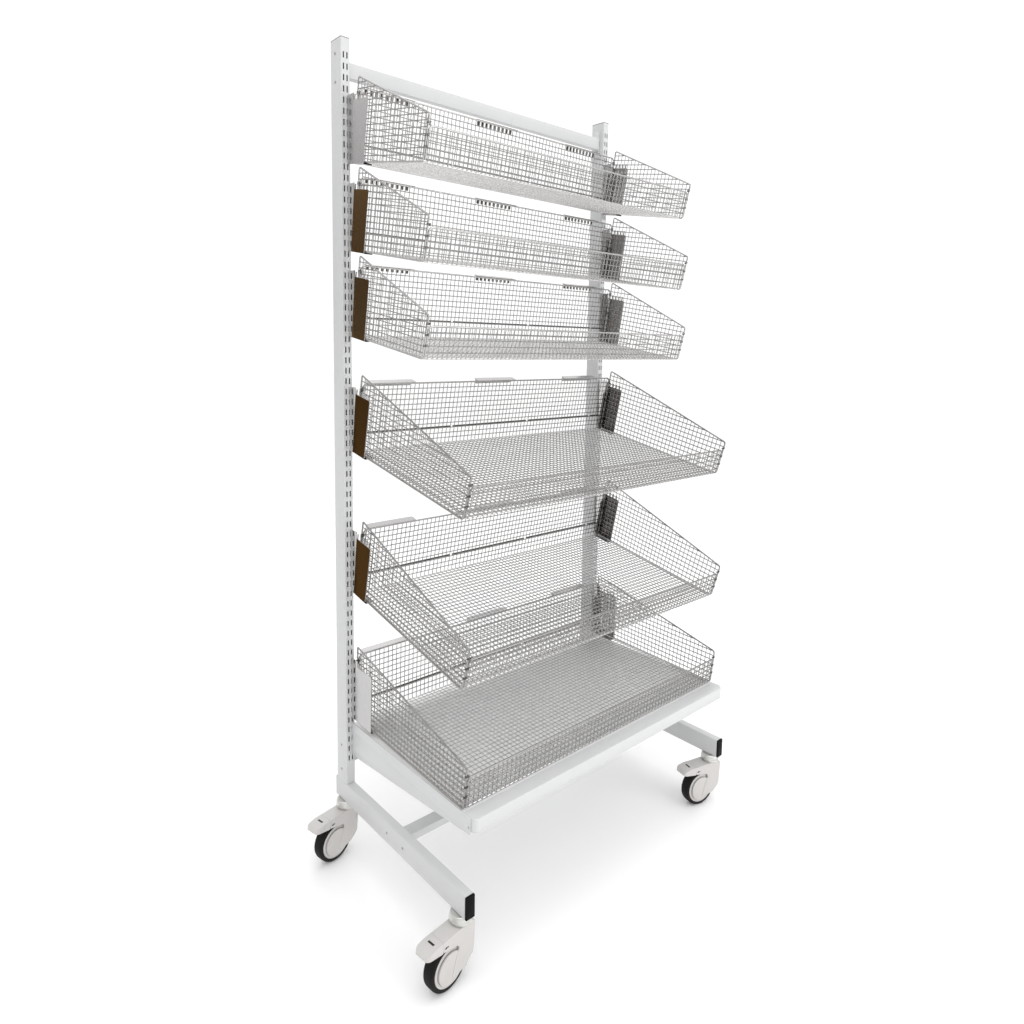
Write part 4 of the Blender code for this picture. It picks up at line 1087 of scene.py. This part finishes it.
def trimmed(mesh, spot, normal):
    # cuts off what lies beyond a plane, so that hood and pedal meet in one section
    bm = bmesh.new()
    bm.from_mesh(mesh)
    cut = bisected(bm, spot, normal, clear_outer=True)
    bmesh.ops.contextual_create(bm, geom=[item for item in cut if isinstance(item, bmesh.types.BMEdge)])
    bmesh.ops.recalc_face_normals(bm, faces=bm.faces)
    return meshFrom(bm, mesh.name, *mesh.materials)


def shellMesh(s):
    rear, boss = s["hoodRear"] - s["overlap"], s["bossRadius"]
    outline = [(s["nose"], s["top"]), (rear, s["top"]), (rear, s["skirt"] + s["skirtRise"] * s["skirtRun"]),
               (s["legRear"][0], s["skirt"]), (s["legRear"][1], s["skirt"] - s["legDrop"]),
               (-s["trail"] + boss / 3, s["axleZ"] + boss / 3), (-s["trail"], s["axleZ"] - boss * 0.8),
               s["legFoot"], (s["legFront"], s["axleZ"])]
    path = filleted(outline, s["hoodCorners"], 5)
    hood = scratchObject("hood", slabMesh("hood", path, -s["hoodHalf"], s["hoodHalf"], alongY, look["casterShell"]))
    bevelled(hood, s["round"], 4, 50)
    hood = scratchObject("hood", trimmed(bakeMesh(hood, "hood"), (s["hoodRear"], 0, 0), (-1, 0, 0)))
    cutters = []
    for how, name, radius, half, x, z, steps in (
        ("UNION", "boss", boss, s["bossHalf"], -s["trail"], s["axleZ"], 64),
        ("DIFFERENCE", "well", s["wellRadius"], s["wellHalf"], -s["trail"], s["axleZ"], 64),
        ("DIFFERENCE", "seat", s["knuckle"] + clearance, s["knuckleHalf"] + clearance, -s["hingeX"], s["hingeZ"], 24),
    ):
        cutters.append(scratchObject(name, drum(name, radius, half, x, z, steps)))
        cutBy(hood, cutters[-1], how)
    bevelled(cutters[0], s["bossRound"], 3, 50)
    weighted = hood.modifiers.new("normals", "WEIGHTED_NORMAL")
    weighted.keep_sharp = True
    shell = bakeMesh(hood, "casterShell")
    for cutter in cutters:
        bpy.data.objects.remove(cutter)
    return smooth(shell, 32)


def pedalMesh(s):
    rear, tip = s["hoodRear"] + s["overlap"], -s["pedalTip"]
    top, skirt = s["top"], s["skirt"] + s["skirtRise"]
    under, over = s["pedalDrops"]
    outline = [(rear, top), (rear, skirt), (s["hoodRear"] - s["pedalFlat"], skirt),
               (tip + s["pedalEdge"], top - under), (tip, top - over)]
    outline += [(x, top - drop) for x, drop in s["pedalSlope"]]
    path = filleted(outline, s["pedalCorners"], 5)
    wide, low, high = s["blank"]
    side = scratchObject("side", slabMesh("side", path, -wide, wide, alongY, look["casterShell"]))
    plan = filleted([(rear, -s["hoodHalf"]), (rear, s["hoodHalf"]), (tip, s["hoodHalf"]), (tip, -s["hoodHalf"])],
                    [0.0, 0.0, s["pedalCorner"], s["pedalCorner"]], 8)
    above = scratchObject("plan", slabMesh("plan", plan, low, high, alongZ, look["casterShell"]))
    cutBy(side, above, "INTERSECT")
    bevelled(side, s["pedalRound"], 4, 45)
    # the face towards the hood slopes back under the hinge, which leaves room for the pedal's swing
    front = (s["hoodRear"] - s["seam"], 0, s["hingeZ"])
    tongue = trimmed(bakeMesh(side, "tongue"), front, (1, 0, 0))
    tongue = scratchObject("tongue", trimmed(tongue, front, (s["hingeZ"] - skirt, 0, -s["relief"])))
    arch = scratchObject("arch", drum("arch", s["archRadius"], s["wellHalf"], -s["trail"], s["axleZ"], 64))
    cutBy(tongue, arch, "DIFFERENCE")
    mesh = bakeMesh(tongue, "tongue")
    bpy.data.objects.remove(above)
    bpy.data.objects.remove(arch)
    pin = drum("knuckle", s["knuckle"], s["knuckleHalf"], -s["hingeX"], s["hingeZ"], 24)
    return smooth(joined("casterPedal", [(mesh, Matrix()), (pin, Matrix())]), 32)


def wheelMesh(s, name, face, steps, material, degrees):
    turn = Matrix.Translation((-s["trail"], 0, s["axleZ"])) @ Matrix.Rotation(math.pi / 2, 4, "X")
    profile = [*face] + [(r, -y) for r, y in reversed(face) if y]
    return smooth(latheMesh(name, profile, steps, turn, material), degrees)


def collarMesh(s):
    low, high = s["top"] + clearance, s["collarTop"]
    profile = [(r, low + up) for r, up in s["collarFace"]]
    rim, drop = s["collarRim"]
    profile += [(rim, high - drop), (s["collarTopRadius"], high), (s["stemRadius"], high),
                (s["stemRadius"], s["stemTop"]), (s["bore"], s["stemTop"]), (s["bore"], s["stemFoot"]),
                (s["tail"], s["stemFoot"])]
    return smooth(latheMesh("casterCollar", profile, 64, Matrix(), look["platedCollar"]))


def markMesh(s):
    # the line across the pedal, let into its top
    near, far, half = s["markAt"] - s["markWide"], s["markAt"] + s["markWide"], s["markHalf"]
    path = filleted([(near, -half), (far, -half), (far, half), (near, half)], [s["markCorner"]] * 4, 3)
    return slabMesh("pedalMark", path, s["top"] - s["inkSunk"], s["top"] + s["inkProud"], alongZ, look["inkMark"])


def arrowMesh(s):
    # a moulded pointer low on the hood's cheeks, showing which way the pedal goes
    x, z = s["arrowAt"]
    path = [(x + s["arrowSize"] * u, z + s["arrowSize"] * v) for u, v in s["arrow"]]
    bm = bmesh.new()
    for sign in (-1, 1):
        low, high = sorted((sign * (s["hoodHalf"] - s["inkSunk"]), sign * (s["hoodHalf"] + s["inkProud"])))
        slabInto(bm, path, low, high, alongY)
    bmesh.ops.recalc_face_normals(bm, faces=bm.faces)
    return meshFrom(bm, "hoodArrow", look["inkMark"])


shapes = {"shell": shellMesh(casterSet), "pedal": pedalMesh(casterSet), "collar": collarMesh(casterSet),
          "hub": wheelMesh(casterSet, "casterHub", casterSet["hubFace"], 72, look["casterShell"], 40),
          "tyre": wheelMesh(casterSet, "casterTyre", casterSet["tyreFace"], 80, look["tyreRubber"], 50),
          "mark": markMesh(casterSet), "arrow": arrowMesh(casterSet)}
for end in ("front", "rear"):
    for side in sides:
        spot = f"{end}_{side}"
        swivel, roll = joints[spot + "_swivel"], joints[spot + "_roll"]
        turn = math.atan2(-roll["axis"][0], roll["axis"][1])
        place = Matrix.Translation((swivel["pos_m"][0], swivel["pos_m"][1], 0)) @ Matrix.Rotation(turn, 4, "Z")
        for kind, body, slotName, cadNodes in (
            ("collar", "rack", "caster_plastic", ("stem",)),
            ("shell", spot + "_fork", "caster_plastic", ("housing", "axle")),
            ("arrow", spot + "_fork", "black_plastic", ()),
            ("hub", spot + "_wheel", "caster_plastic", ("hub",)),
            ("tyre", spot + "_wheel", "tyre_rubber", ("tyre",)),
            ("pedal", spot + "_pedal", "caster_plastic", ("pedal",)),
            ("mark", spot + "_pedal", "black_plastic", ()),
        ):
            mesh = shapes[kind].copy()
            mesh.transform(place)
            addPiece(f"{end}{side.title()}Caster{kind.title()}", mesh, body, slotName,
                     *(f"caster_{spot}_{part}" for part in cadNodes))
print("casters")
